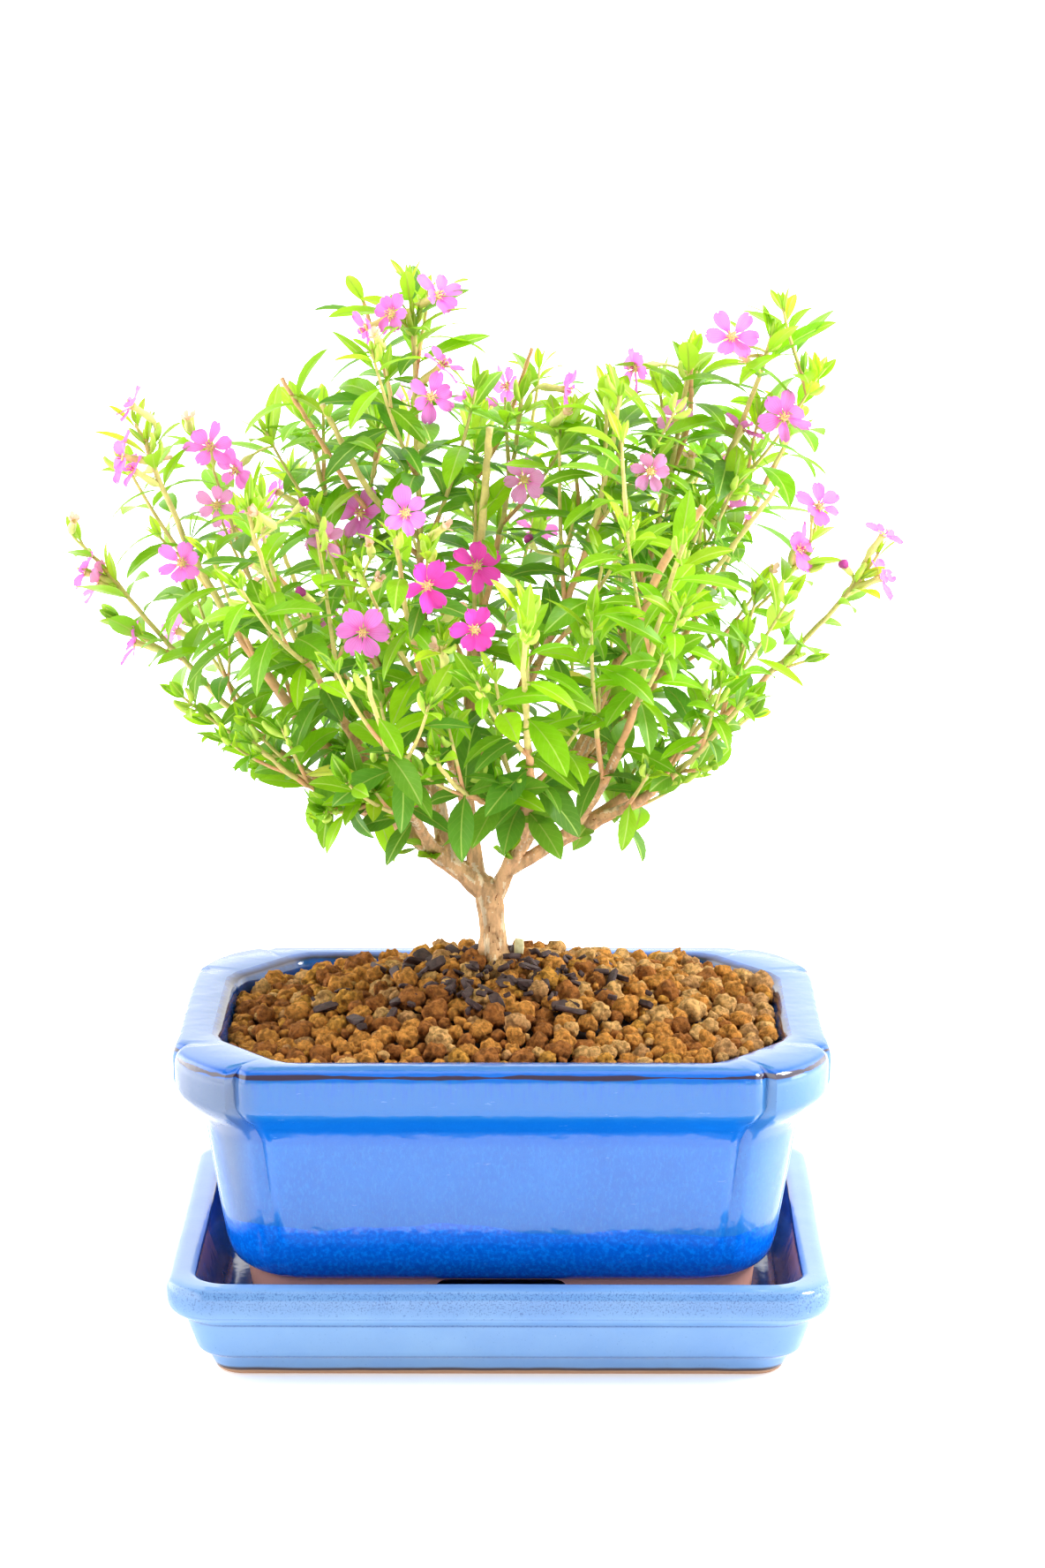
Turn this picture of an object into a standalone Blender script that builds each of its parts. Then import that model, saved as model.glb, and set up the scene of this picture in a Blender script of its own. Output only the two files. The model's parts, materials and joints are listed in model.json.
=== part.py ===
"""Small flowering cuphea grown as a bonsai in a glazed, lobed pot on a drip tray.

Metres, +Z up. The origin is the centre of the tray's flat underside, the front is -Y.
Run with: blender --background --python part.py
"""
import math
import random
from collections import namedtuple

import bmesh
import bpy
import numpy as np
from mathutils import Matrix, Vector
from mathutils.bvhtree import BVHTree
from mathutils.geometry import delaunay_2d_cdt
from mathutils.kdtree import KDTree

MM = 0.001
GAP = 0.3 * MM                      # clearance between pieces that rest on each other
SMOOTH_ANGLE = math.radians(40)     # edges sharper than this stay sharp
CUTTER_OVERRUN = 2.0 * MM
WELD = 0.001 * MM                   # points closer than this are one

# Drip tray: half sizes at its rim, then its profile as (height, half width)
TRAY_HALF_WIDTH = 75.2 * MM
TRAY_HALF_DEPTH = 59.6 * MM
TRAY_CORNER = 11.6 * MM
TRAY_FLOOR = 10.0 * MM
TRAY_OUTER = ((0.0, 63.6), (0.5, 64.4), (4.6, 66.4), (5.2, 67.9), (6.1, 68.7), (13.6, 71.1),
              (14.4, 72.0), (15.5, 73.9), (17.0, 74.9), (18.8, 75.2), (21.3, 75.2), (22.7, 74.5),
              (23.3, 73.2))
TRAY_INNER = ((23.3, 69.8), (22.7, 68.7), (21.3, 68.1), (12.2, 65.0), (10.4, 63.9), (10.0, 62.0))

# Pot: half sizes at its rim, the corner lobes, then its profile as (height, half width)
POT_HALF_WIDTH = 75.0 * MM
POT_HALF_DEPTH = 56.7 * MM
POT_LOBE = (15.6 * MM, 22.0 * MM)   # how far a corner lobe runs along the width and the depth
POT_LOBE_POWER = 1.65               # 1 cuts the corner straight, 2 rounds it fully
POT_LOBE_STEP = 0.5 * MM            # how far a lobe stands back from the walls
POT_LOBE_ARC = (math.radians(12), math.radians(78))     # the stretch of a lobe between creases
POT_CREASE = (0.9 * MM, 2.1 * MM)   # depth of the creases beside a lobe, at foot and at rim
POT_SHOULDER = 2.8 * MM             # how far from a crease its wall starts to turn in
POT_OFFSET = (0.4 * MM, 1.6 * MM)   # the pot stands a little off the tray's middle
POT_FOOT = TRAY_FLOOR + GAP
POT_OUTER = ((POT_FOOT / MM, 57.8), (19.8, 59.2), (20.2, 60.5), (21.4, 62.2), (24.2, 63.4),
             (34.0, 65.0), (50.0, 67.3), (54.4, 68.0), (57.8, 69.8), (60.6, 72.8), (63.4, 74.8),
             (70.2, 75.0), (72.2, 74.4), (73.2, 72.9))
POT_RIM_WIDTH = 11.2 * MM
POT_RIM_DEPTH = 9.2 * MM
POT_MOUTH_CHAMFER = (16.0 * MM, 21.0 * MM)
POT_MOUTH_EASE = 0.12               # the share of the cut that its eased ends take
POT_MOUTH = ((73.2, 66.4), (72.5, 64.7), (70.8, 63.8))
POT_WALL_FOOT = (34.0, 57.6)        # the inner wall where it turns into the floor
POT_INNER_FLOOR = (29.0, 53.0)
POT_ARCH_WIDTH = 31.0 * MM          # the opening in the foot, front and back
POT_ARCH_TOP = 19.6 * MM
POT_ARCH_BEND = 3.5 * MM
POT_RECESS_TOP = 16.8 * MM
POT_RECESS_INSET = 7.6 * MM
POT_RECESS_CORNER = 9.0 * MM

# Soil: a mound of baked clay grains, highest round the trunk
SOIL_EDGE_HEIGHT = 68.6 * MM
SOIL_MOUND = 14.0 * MM
SOIL_SPREAD = (34.0 * MM, 30.0 * MM)
SOIL_TILT = (0.030, -0.012)         # it lies higher to the right and to the front
SOIL_GRAIN = 5.4 * MM               # from one coarse grain or hollow to the next
SOIL_GRAIN_TOP = (0.8 * MM, 2.2 * MM)
SOIL_HOLLOW = (-1.8 * MM, -0.4 * MM)
SOIL_SHIFT = 1.0 * MM               # how far a grain strays from its row
SOIL_WALL_TOP = 62.0 * MM
SOIL_CLEARANCE = 1.15 * GAP         # from the pot's inner walls
SOIL_STEPS = 52                     # points round the mound's edge
SOIL_PAD = 6.0 * MM                 # level spot that the trunk stands on
SOIL_PAD_STEPS = 10
SOIL_SEED = 5

# Trunk
TRUNK_FOOT = (-2.0 * MM, 8.0 * MM)
TRUNK_SIDES = 12
TRUNK_FORK = Vector((-3.0 * MM, 8.0 * MM, 99.0 * MM))
TRUNK_RADIUS = ((0.00, 4.1), (0.06, 3.6), (0.16, 3.0), (0.35, 2.75), (0.60, 2.65), (0.80, 2.7),
                (1.00, 2.45))       # (share of the height, radius in mm)
ROOT_LOBES = 5
ROOT_LOBE_SHARE = 0.22              # how far the root lobes stand out at the cut
ROOT_LOBE_TURN = 0.8                # where the first lobe lies, in radians
ROOT_LOBE_RISE = 0.2                # the share of the trunk that the lobes run up
TRUNK_SWAY = 0.5 * MM

# Limbs. Each is one curve from where it leaves its parent to its tip in the crown. The
# bough is its first share, and the rest is the stem of a mass of foliage.
# leave: heading and rise as it leaves, in degrees (heading 0 is +X, 90 is +Y, the back)
# tip: heading, rise and reach (mm) of its tip, seen from the trunk's fork
Limb = namedtuple("Limb", "name parent at leave tip tip_rise share radius")
LIMBS = (
    Limb("left_long", "trunk", 1.00, (180, 36), (-171, 55, 141), 72, 0.25, 2.35),
    Limb("top_spire", "left_long", 0.34, (115, 68), (-146, 82, 146), 88, 0.22, 1.70),
    Limb("centre_top", "left_long", 0.08, (140, 74), (0, 86, 125), 84, 0.25, 1.60),
    Limb("centre_front", "trunk", 0.80, (-12, 62), (-82, 51, 104), 70, 0.26, 1.75),
    Limb("right_tip", "centre_front", 0.42, (2, 28), (-5, 42, 123), 50, 0.24, 1.45),
    Limb("right_top", "centre_front", 0.62, (22, 50), (-2, 64, 154), 72, 0.20, 1.40),
    Limb("left_far", "left_long", 0.62, (172, 22), (172, 40, 124), 50, 0.18, 1.25),
    Limb("left_low", "left_long", 0.84, (-142, 16), (-154, 36, 80), 46, 0.22, 1.05),
    Limb("left_mid", "left_long", 0.74, (-150, 62), (-148, 58, 122), 76, 0.15, 1.15),
    Limb("left_front", "left_long", 0.46, (-112, 40), (-114, 46, 98), 62, 0.20, 1.20),
    Limb("left_upper", "top_spire", 0.80, (172, 52), (167, 69, 127), 75, 0.15, 1.10),
    Limb("front_upper", "centre_top", 0.62, (-108, 48), (-113, 62, 113), 75, 0.16, 1.10),
    Limb("centre_right", "centre_top", 0.84, (-10, 56), (-32, 74, 133), 82, 0.14, 1.10),
    Limb("right_front", "right_tip", 0.62, (-46, 46), (-50, 54, 122), 64, 0.16, 1.15),
    Limb("front_low", "centre_front", 0.84, (-100, 46), (-104, 44, 70), 54, 0.14, 0.90),
    Limb("low_left", "left_long", 0.90, (-120, 30), (-140, 38, 58), 38, 0.16, 0.90),
    Limb("right_low", "right_tip", 0.86, (-32, 18), (-25, 39, 90), 48, 0.18, 1.00),
    Limb("low_right", "right_tip", 0.36, (30, 12), (6, 33, 58), 38, 0.26, 0.95),
    Limb("right_inner", "right_top", 0.50, (-20, 60), (4, 70, 142), 80, 0.16, 1.15),
    Limb("right_upper", "right_top", 0.60, (26, 36), (18, 55, 137), 62, 0.16, 1.15),
    Limb("back_right", "right_top", 0.86, (62, 42), (46, 53, 129), 62, 0.14, 1.10),
    Limb("back_low_right", "right_top", 0.36, (62, 14), (49, 42, 86), 48, 0.24, 1.00),
    Limb("back_left", "top_spire", 0.56, (142, 30), (136, 49, 122), 62, 0.18, 1.15),
    Limb("back_low_left", "top_spire", 0.30, (132, 8), (131, 42, 86), 48, 0.24, 1.00),
    Limb("back_centre", "centre_top", 0.40, (96, 38), (93, 60, 131), 72, 0.20, 1.20),
)
LIMB_HANDLE = 0.35                  # how stiffly a limb holds its two end directions
LIMB_TIP_RADIUS = 0.55 * MM
LIMB_TAPER = 1.6
BOUGH_SIDES = 5
BOUGH_RINGS = 4
BOUGH_WAVER = 0.35 * MM

# The crown's outline from the front, as (x, z), and its half depth at rising heights. Both
# are read at the trunk's depth, and the crown is an oval seen from above.
CROWN_OUTLINE = ((-101, 189), (-97, 170), (-68, 135), (-42, 120), (-39, 107), (0, 103),
                 (32, 108), (69, 150), (92, 182), (78, 198), (77, 234), (64, 243), (34, 231),
                 (4, 231), (-12, 246), (-31, 245), (-55, 223), (-60, 210), (-88, 218), (-93, 202))
CROWN_DEPTH = ((100, 20), (125, 42), (150, 58), (185, 74), (215, 68), (235, 46), (248, 26))
CROWN_HALF_WIDTH = 108.0 * MM

# Foliage
TWIG_SIDES = 3
STEM_RINGS = 5
SHOOT_RINGS = 3
SHOOT_STARTS = (0.06, 0.24, 0.42, 0.62)   # where side shoots leave a stem, as shares of it
SHOOT_ATTEMPTS = 3
SHOOT_SHARE = 0.55                  # a side shoot's length against what is left of the stem
SHOOT_SPREAD = math.radians(34)
SHOOT_LIFT = 0.45                   # how far a side shoot turns upwards
SHOOT_FOLLOW = 0.3                  # how far it turns back along its stem
SHOOT_HANDLE = 0.35
SHOOT_RADIUS = (0.80 * MM, 0.50 * MM)
SHOOT_MIN = 14.0 * MM
SHOOT_SCATTER = 0.15                # how far side shoots differ in length
GOLDEN_TURN = math.radians(137.5)
PAIR_GAP = 14.0 * MM                # between one pair of leaves and the next
PAIR_SCATTER = 0.2
LEAF_LENGTH = (22.0 * MM, 14.5 * MM)    # at a shoot's foot and at its tip
LEAF_WIDTH_SHARE = 0.46
LEAF_THICKNESS_SHARE = 0.05
LEAF_OPEN = (math.radians(64), math.radians(34))
LEAF_WIDEST = 0.45
LEAF_ARCH = 0.07
LEAF_ROOT = 0.35                    # how far past the twig's axis a leaf's root sits
LEAF_ATTEMPTS = 4
LEAF_SWING = 0.18                   # how far a leaf may turn from its place, in radians
LEAF_SHRINK = 0.93                  # each further try is a little shorter
LEAF_SCATTER = 0.12                 # how far leaves differ in length
LEAF_SKYWARD = 0.35                 # how far a leaf turns its face to the sky
STEM_FIRST_PAIR = 4.5 * MM          # from a stem's foot to its lowest leaves
SHOOT_FIRST_PAIR = 7.5 * MM
LAST_PAIR = 3.6 * MM                # from a shoot's end to its highest leaves
BUD_PROFILE = ((2.5 * MM, 1.4 * MM), (8.0 * MM, 0.15 * MM))  # (past a twig's end, radius)
CELL_MARGIN = 0.7 * MM              # half the least distance between two masses
LIMB_CLEARANCE = 0.45 * MM
FLOWER_RADIUS = 6.4 * MM
FLOWER_WAIST = 3.1 * MM
FLOWER_PETALS = 6
FLOWER_THICKNESS = 0.8 * MM
CALYX_LENGTH = 7.0 * MM
CALYX_RADIUS = (0.45 * MM, 1.1 * MM)
FLOWER_PLACE = (4.0 * MM, 16.0 * MM)    # how far below a shoot's tip a flower springs
FLOWER_ATTEMPTS = 10
FLOWER_SPIN = 1.2                   # how far a flower may turn from facing straight out
FLOWER_FOLLOW = 0.5
FLOWER_LIFT = 0.2
FOLIAGE_SEED = 17

UP = Vector((0.0, 0.0, 1.0))


def clear_scene():
    for item in list(bpy.data.objects):
        bpy.data.objects.remove(item, do_unlink=True)


def material(name, colour, roughness, metallic=0.0):
    made = bpy.data.materials.new(name)
    made.use_nodes = True
    shader = made.node_tree.nodes["Principled BSDF"]
    shader.inputs["Base Color"].default_value = (*colour, 1.0)
    shader.inputs["Roughness"].default_value = roughness
    shader.inputs["Metallic"].default_value = metallic
    made.diffuse_color = (*colour, 1.0)
    return made


def add_object(name, points, faces, finish=None, smooth_angle=None):
    """A mesh object from points and faces, with its faces turned outwards."""
    mesh = bpy.data.meshes.new(name)
    mesh.from_pydata([tuple(point) for point in points], [], faces)
    work = bmesh.new()
    work.from_mesh(mesh)
    bmesh.ops.recalc_face_normals(work, faces=work.faces)
    work.to_mesh(mesh)
    work.free()
    made = bpy.data.objects.new(name, mesh)
    bpy.context.scene.collection.objects.link(made)
    if finish is not None:
        mesh.materials.append(finish)
    if smooth_angle is not None:
        mesh.shade_smooth()
        mesh.set_sharp_from_angle(angle=smooth_angle)
    return made


def loft(rings, close_first=True, close_last=True):
    """Faces between rings of equal length, in order, with flat ends."""
    points = [point for ring in rings for point in ring]
    count = len(rings[0])
    faces = []
    for row in range(len(rings) - 1):
        low = row * count
        for step in range(count):
            after = (step + 1) % count
            faces.append((low + step, low + after, low + count + after, low + count + step))
    if close_first:
        faces.append(tuple(range(count)))
    if close_last:
        top = (len(rings) - 1) * count
        faces.append(tuple(range(top, top + count)))
    return points, faces


def along(points, distance):
    """The point and the direction at a distance along a path, or None past its end."""
    for low, high in zip(points, points[1:]):
        span = (high - low).length
        if distance <= span:
            return low.lerp(high, distance / span), (high - low).normalized()
        distance -= span
    return None


def path_length(points):
    return sum((high - low).length for low, high in zip(points, points[1:]))


def cut_away(target, cutter):
    """Subtract one object from another with a live modifier."""
    cutter.hide_render = True
    cutter.display_type = "WIRE"
    boolean = target.modifiers.new("cut_" + cutter.name, "BOOLEAN")
    boolean.operation = "DIFFERENCE"
    boolean.solver = "EXACT"
    boolean.object = cutter


def rounded_outline(half_width, half_depth, radius, height, steps=4):
    """A rectangle with round corners, anticlockwise, at one height."""
    points = []
    for quarter, (side_x, side_y) in enumerate(((1, 1), (-1, 1), (-1, -1), (1, -1))):
        centre_x = side_x * (half_width - radius)
        centre_y = side_y * (half_depth - radius)
        for step in range(steps + 1):
            angle = math.radians(90) * (quarter + step / steps)
            points.append(Vector((centre_x + radius * math.cos(angle),
                                  centre_y + radius * math.sin(angle), height)))
    return points


def mirrored_corners(corner, height):
    """A whole outline, anticlockwise, from the points of its front corner at +X, +Y."""
    points = []
    for side_x, side_y in ((1, 1), (-1, 1), (-1, -1), (1, -1)):
        quarter = corner if side_x * side_y > 0 else corner[::-1]
        points += [Vector((side_x * spot.x, side_y * spot.y, height)) for spot in quarter]
    return points


def lobed_outline(half_width, half_depth, lobe, crease, height, steps=4):
    """A rectangle whose corners are pillars, each with a crease between it and the walls."""
    lobe_x, lobe_y = lobe
    inner = Vector((half_width - lobe_x, half_depth - lobe_y))
    radius_x = lobe_x - POT_LOBE_STEP
    radius_y = lobe_y - POT_LOBE_STEP
    corner = [Vector((half_width, inner.y - POT_SHOULDER)), Vector((half_width - crease, inner.y))]
    for step in range(steps + 1):
        angle = POT_LOBE_ARC[0] + (POT_LOBE_ARC[1] - POT_LOBE_ARC[0]) * step / steps
        corner.append(inner + Vector((radius_x * math.cos(angle) ** (2.0 / POT_LOBE_POWER),
                                      radius_y * math.sin(angle) ** (2.0 / POT_LOBE_POWER))))
    corner += [Vector((inner.x, half_depth - crease)), Vector((inner.x - POT_SHOULDER, half_depth))]
    return mirrored_corners(corner, height)


def chamfered_outline(half_width, half_depth, chamfer, height, steps=6):
    """A rectangle with its corners cut across and the cut's ends eased."""
    cut_x, cut_y = chamfer
    ease = POT_MOUTH_EASE
    low = Vector((half_width, half_depth - cut_y))
    high = Vector((half_width - cut_x, half_depth))
    corner = [low - Vector((0.0, ease * cut_y))]
    corner += [low.lerp(high, ease + (1.0 - 2.0 * ease) * step / steps) for step in range(steps + 1)]
    corner.append(high - Vector((ease * cut_x, 0.0)))
    return mirrored_corners(corner, height)


def resampled(outline, count):
    """Points spaced evenly round a closed outline."""
    closed = outline + outline[:1]
    length = path_length(closed)
    return [along(closed, length * step / count)[0] for step in range(count)]


def shifted(points, offset):
    return [point + Vector((offset[0], offset[1], 0.0)) for point in points]


def make_tray(finish):
    inset = TRAY_HALF_WIDTH - TRAY_HALF_DEPTH
    rings = []
    for height, half in TRAY_OUTER + TRAY_INNER:
        half *= MM
        radius = TRAY_CORNER - 0.5 * (TRAY_HALF_WIDTH - half)
        rings.append(rounded_outline(half, half - inset, radius, height * MM))
    points, faces = loft(rings)
    return add_object("tray", points, faces, finish, SMOOTH_ANGLE)


def pot_outer_ring(height, half):
    inset = POT_HALF_WIDTH - POT_HALF_DEPTH
    scale = half / POT_HALF_WIDTH
    lobe = (POT_LOBE[0] * scale, POT_LOBE[1] * scale)
    rise = (height - POT_FOOT) / (POT_OUTER[-1][0] * MM - POT_FOOT)
    crease = POT_CREASE[0] + (POT_CREASE[1] - POT_CREASE[0]) * rise
    return lobed_outline(half, half - inset, lobe, crease, height)


def pot_inner_ring(height, half):
    """The mouth's plain chamfered outline, at one height inside the pot."""
    inset = (POT_HALF_WIDTH - POT_RIM_WIDTH) - (POT_HALF_DEPTH - POT_RIM_DEPTH)
    scale = half / (POT_HALF_WIDTH - POT_RIM_WIDTH)
    chamfer = (POT_MOUTH_CHAMFER[0] * scale, POT_MOUTH_CHAMFER[1] * scale)
    return chamfered_outline(half, half - inset, chamfer, height)


def make_pot(clay):
    rings = [pot_outer_ring(height * MM, half * MM) for height, half in POT_OUTER]
    inner = POT_MOUTH + (POT_WALL_FOOT, POT_INNER_FLOOR)
    rings += [pot_inner_ring(height * MM, half * MM) for height, half in inner]
    points, faces = loft([shifted(ring, POT_OFFSET) for ring in rings])
    pot = add_object("pot", points, faces, clay, SMOOTH_ANGLE)

    below = POT_FOOT - CUTTER_OVERRUN
    foot_half = POT_OUTER[0][1] * MM
    inset = POT_HALF_WIDTH - POT_HALF_DEPTH
    recess_half = foot_half - POT_RECESS_INSET
    recess = [rounded_outline(recess_half, recess_half - inset, POT_RECESS_CORNER, height)
              for height in (below, POT_RECESS_TOP)]
    points, faces = loft([shifted(ring, POT_OFFSET) for ring in recess])
    cut_away(pot, add_object("pot_recess_cutter", points, faces))

    half = POT_ARCH_WIDTH / 2
    bend = POT_ARCH_BEND
    arch = [Vector((-half, 0.0, below)), Vector((half, 0.0, below))]
    for side, first in ((1, 0), (-1, 90)):
        for step in range(4):
            angle = math.radians(first + 30 * step)
            arch.append(Vector((side * (half - bend) + bend * math.cos(angle), 0.0,
                                POT_ARCH_TOP - bend + bend * math.sin(angle))))
    reach = POT_HALF_DEPTH + CUTTER_OVERRUN
    ends = [[point + Vector((0.0, side * reach, 0.0)) for point in arch] for side in (-1, 1)]
    points, faces = loft([shifted(ring, POT_OFFSET) for ring in ends])
    cut_away(pot, add_object("pot_arch_cutter", points, faces))
    return pot


def soil_height(x, y):
    """Height of the mound's smooth surface."""
    off_x = (x - TRUNK_FOOT[0]) / SOIL_SPREAD[0]
    off_y = (y - TRUNK_FOOT[1]) / SOIL_SPREAD[1]
    mound = SOIL_MOUND * math.exp(-0.5 * (off_x ** 2 + off_y ** 2))
    return SOIL_EDGE_HEIGHT + mound + SOIL_TILT[0] * x + SOIL_TILT[1] * y


SOIL_TOP = soil_height(*TRUNK_FOOT)


def pot_inner_half(height):
    """Half width of the pot's inside at a height, between its floor and its mouth."""
    low, high = POT_WALL_FOOT, POT_MOUTH[-1]
    share = (height / MM - low[0]) / (high[0] - low[0])
    return (low[1] + (high[1] - low[1]) * min(max(share, 0.0), 1.0)) * MM


def soil_wall(height, half):
    """The soil's outline against the pot's inner wall, clear of it."""
    return resampled(shifted(pot_inner_ring(height, half - SOIL_CLEARANCE), POT_OFFSET), SOIL_STEPS)


def inside(across, up, outline):
    """Whether a spot is inside a closed outline of pairs."""
    crossings = 0
    for (across_a, up_a), (across_b, up_b) in zip(outline, outline[1:] + outline[:1]):
        if (up_a > up) != (up_b > up):
            share = (up - up_a) / (up_b - up_a)
            if across < across_a + (across_b - across_a) * share:
                crossings += 1
    return crossings % 2 == 1


def coarse_grains(edge, centre, draw):
    """Tops of coarse grains and the hollows beside them, in staggered rows over the mound."""
    outline = [(point.x, point.y) for point in edge]
    tree = KDTree(len(edge))
    for index, point in enumerate(edge):
        tree.insert((point.x, point.y, 0.0), index)
    tree.balance()
    row_gap = SOIL_GRAIN * math.sqrt(0.75)
    rows = math.ceil(POT_HALF_DEPTH / row_gap)
    columns = math.ceil(POT_HALF_WIDTH / SOIL_GRAIN)
    grains = []
    for row in range(-rows, rows + 1):
        for column in range(-columns, columns + 1):
            x = (column + 0.5 * (row % 2)) * SOIL_GRAIN + draw.uniform(-1, 1) * SOIL_SHIFT
            y = row * row_gap + draw.uniform(-1, 1) * SOIL_SHIFT
            top = (column - row // 2 - row) % 3 == 0
            lump = draw.uniform(*(SOIL_GRAIN_TOP if top else SOIL_HOLLOW))
            spot = Vector((x, y, 0.0))
            near_edge = tree.find(spot)[2] < 0.5 * SOIL_GRAIN
            near_pad = (spot - centre).length < SOIL_PAD + 0.5 * SOIL_GRAIN
            if inside(x, y, outline) and not near_edge and not near_pad:
                spot.z = soil_height(x, y) + lump
                grains.append(spot)
    return grains


def make_soil(finish):
    """The soil's walls and floor, and a top of coarse grains round a level pad."""
    draw = random.Random(SOIL_SEED)
    wall_foot = POT_WALL_FOOT[0] * MM + GAP
    rings = [soil_wall(POT_INNER_FLOOR[0] * MM + GAP, POT_INNER_FLOOR[1] * MM),
             soil_wall(wall_foot, pot_inner_half(wall_foot)),
             soil_wall(SOIL_WALL_TOP, pot_inner_half(SOIL_WALL_TOP))]
    edge = []
    for index, point in enumerate(soil_wall(0.0, POT_MOUTH[-1][1] * MM)):
        height = soil_height(point.x, point.y) + draw.uniform(*SOIL_HOLLOW)
        spot = soil_wall(0.0, pot_inner_half(height))[index]
        edge.append(Vector((spot.x, spot.y, height)))
    points, faces = loft(rings + [edge], close_last=False)
    centre = Vector((TRUNK_FOOT[0], TRUNK_FOOT[1], 0.0))
    pad = []
    for step in range(SOIL_PAD_STEPS):
        angle = 2.0 * math.pi * step / SOIL_PAD_STEPS
        reach = Vector((math.cos(angle), math.sin(angle), 0.0)) * SOIL_PAD
        pad.append(centre + reach + UP * SOIL_TOP)
    top = edge + pad + coarse_grains(edge, centre, draw)
    first = len(points) - len(edge)
    flat = [Vector((point.x, point.y)) for point in top]
    _, _, triangles, given, _, _ = delaunay_2d_cdt(flat, [], [list(range(len(edge)))], 1, WELD)
    order = [sources[0] for sources in given]
    points = points[:first] + top
    faces += [tuple(first + order[corner] for corner in face) for face in triangles]
    return add_object("soil", points, faces, finish)


def direction(heading, rise):
    heading, rise = math.radians(heading), math.radians(rise)
    flat = math.cos(rise)
    return Vector((flat * math.cos(heading), flat * math.sin(heading), math.sin(rise)))


def bezier(ends, share):
    start, first, second, last = ends
    back = 1.0 - share
    return (start * back ** 3 + first * 3 * back ** 2 * share
            + second * 3 * back * share ** 2 + last * share ** 3)


def side_frame(tangent):
    """Two directions square to a tangent."""
    across = tangent.cross(UP)
    if across.length < 0.05:
        across = tangent.cross(Vector((0.0, 1.0, 0.0)))
    across.normalize()
    return across, across.cross(tangent).normalized()


def tangents(points):
    found = []
    for step in range(len(points)):
        low = max(step - 1, 0)
        high = min(step + 1, len(points) - 1)
        found.append((points[high] - points[low]).normalized())
    return found


def tube(points, radii, sides, start_angle=0.0):
    """A closed tube of flat sides along a path, with flat ends square to it."""
    rings = []
    heading = tangents(points)
    across, _ = side_frame(heading[0])
    for point, tangent, radius in zip(points, heading, radii):
        across = (across - tangent * across.dot(tangent)).normalized()
        other = tangent.cross(across)
        ring = []
        for step in range(sides):
            angle = start_angle + 2.0 * math.pi * step / sides
            ring.append(point + (across * math.cos(angle) + other * math.sin(angle)) * radius)
        rings.append(ring)
    return loft(rings)


def twig(points, radii):
    """A three-sided twig that ends in a pointed bud."""
    way = (points[-1] - points[-2]).normalized()
    bud = [points[-1] + way * length for length, _ in BUD_PROFILE]
    return tube(points + bud, radii + [radius for _, radius in BUD_PROFILE], TWIG_SIDES)


def trunk_centre(share):
    foot = Vector((TRUNK_FOOT[0], TRUNK_FOOT[1], SOIL_TOP + GAP))
    point = foot.lerp(TRUNK_FORK, share)
    point.x += TRUNK_SWAY * math.sin(math.pi * share)
    return point


def trunk_radius(share):
    low, high = TRUNK_RADIUS[0], TRUNK_RADIUS[-1]
    for before, after in zip(TRUNK_RADIUS, TRUNK_RADIUS[1:]):
        if before[0] <= share <= after[0]:
            low, high = before, after
            break
    blend = (share - low[0]) / (high[0] - low[0])
    return (low[1] + (high[1] - low[1]) * blend) * MM


def trunk_rings(swell=0.0):
    """The trunk's rings from its flat foot to its fork, swollen by a clearance if asked."""
    rings = []
    for share, _ in TRUNK_RADIUS:
        centre = trunk_centre(share)
        flare = ROOT_LOBE_SHARE * max(0.0, 1.0 - share / ROOT_LOBE_RISE)
        ring = []
        for step in range(TRUNK_SIDES):
            angle = 2.0 * math.pi * step / TRUNK_SIDES
            lobe = 1.0 + flare * math.cos(ROOT_LOBES * angle + ROOT_LOBE_TURN)
            radius = trunk_radius(share) * lobe + swell
            ring.append(centre + Vector((radius * math.cos(angle), radius * math.sin(angle), 0.0)))
        rings.append(ring)
    return rings


def make_trunk(finish):
    points, faces = loft(trunk_rings())
    return add_object("trunk", points, faces, finish, SMOOTH_ANGLE)


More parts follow.
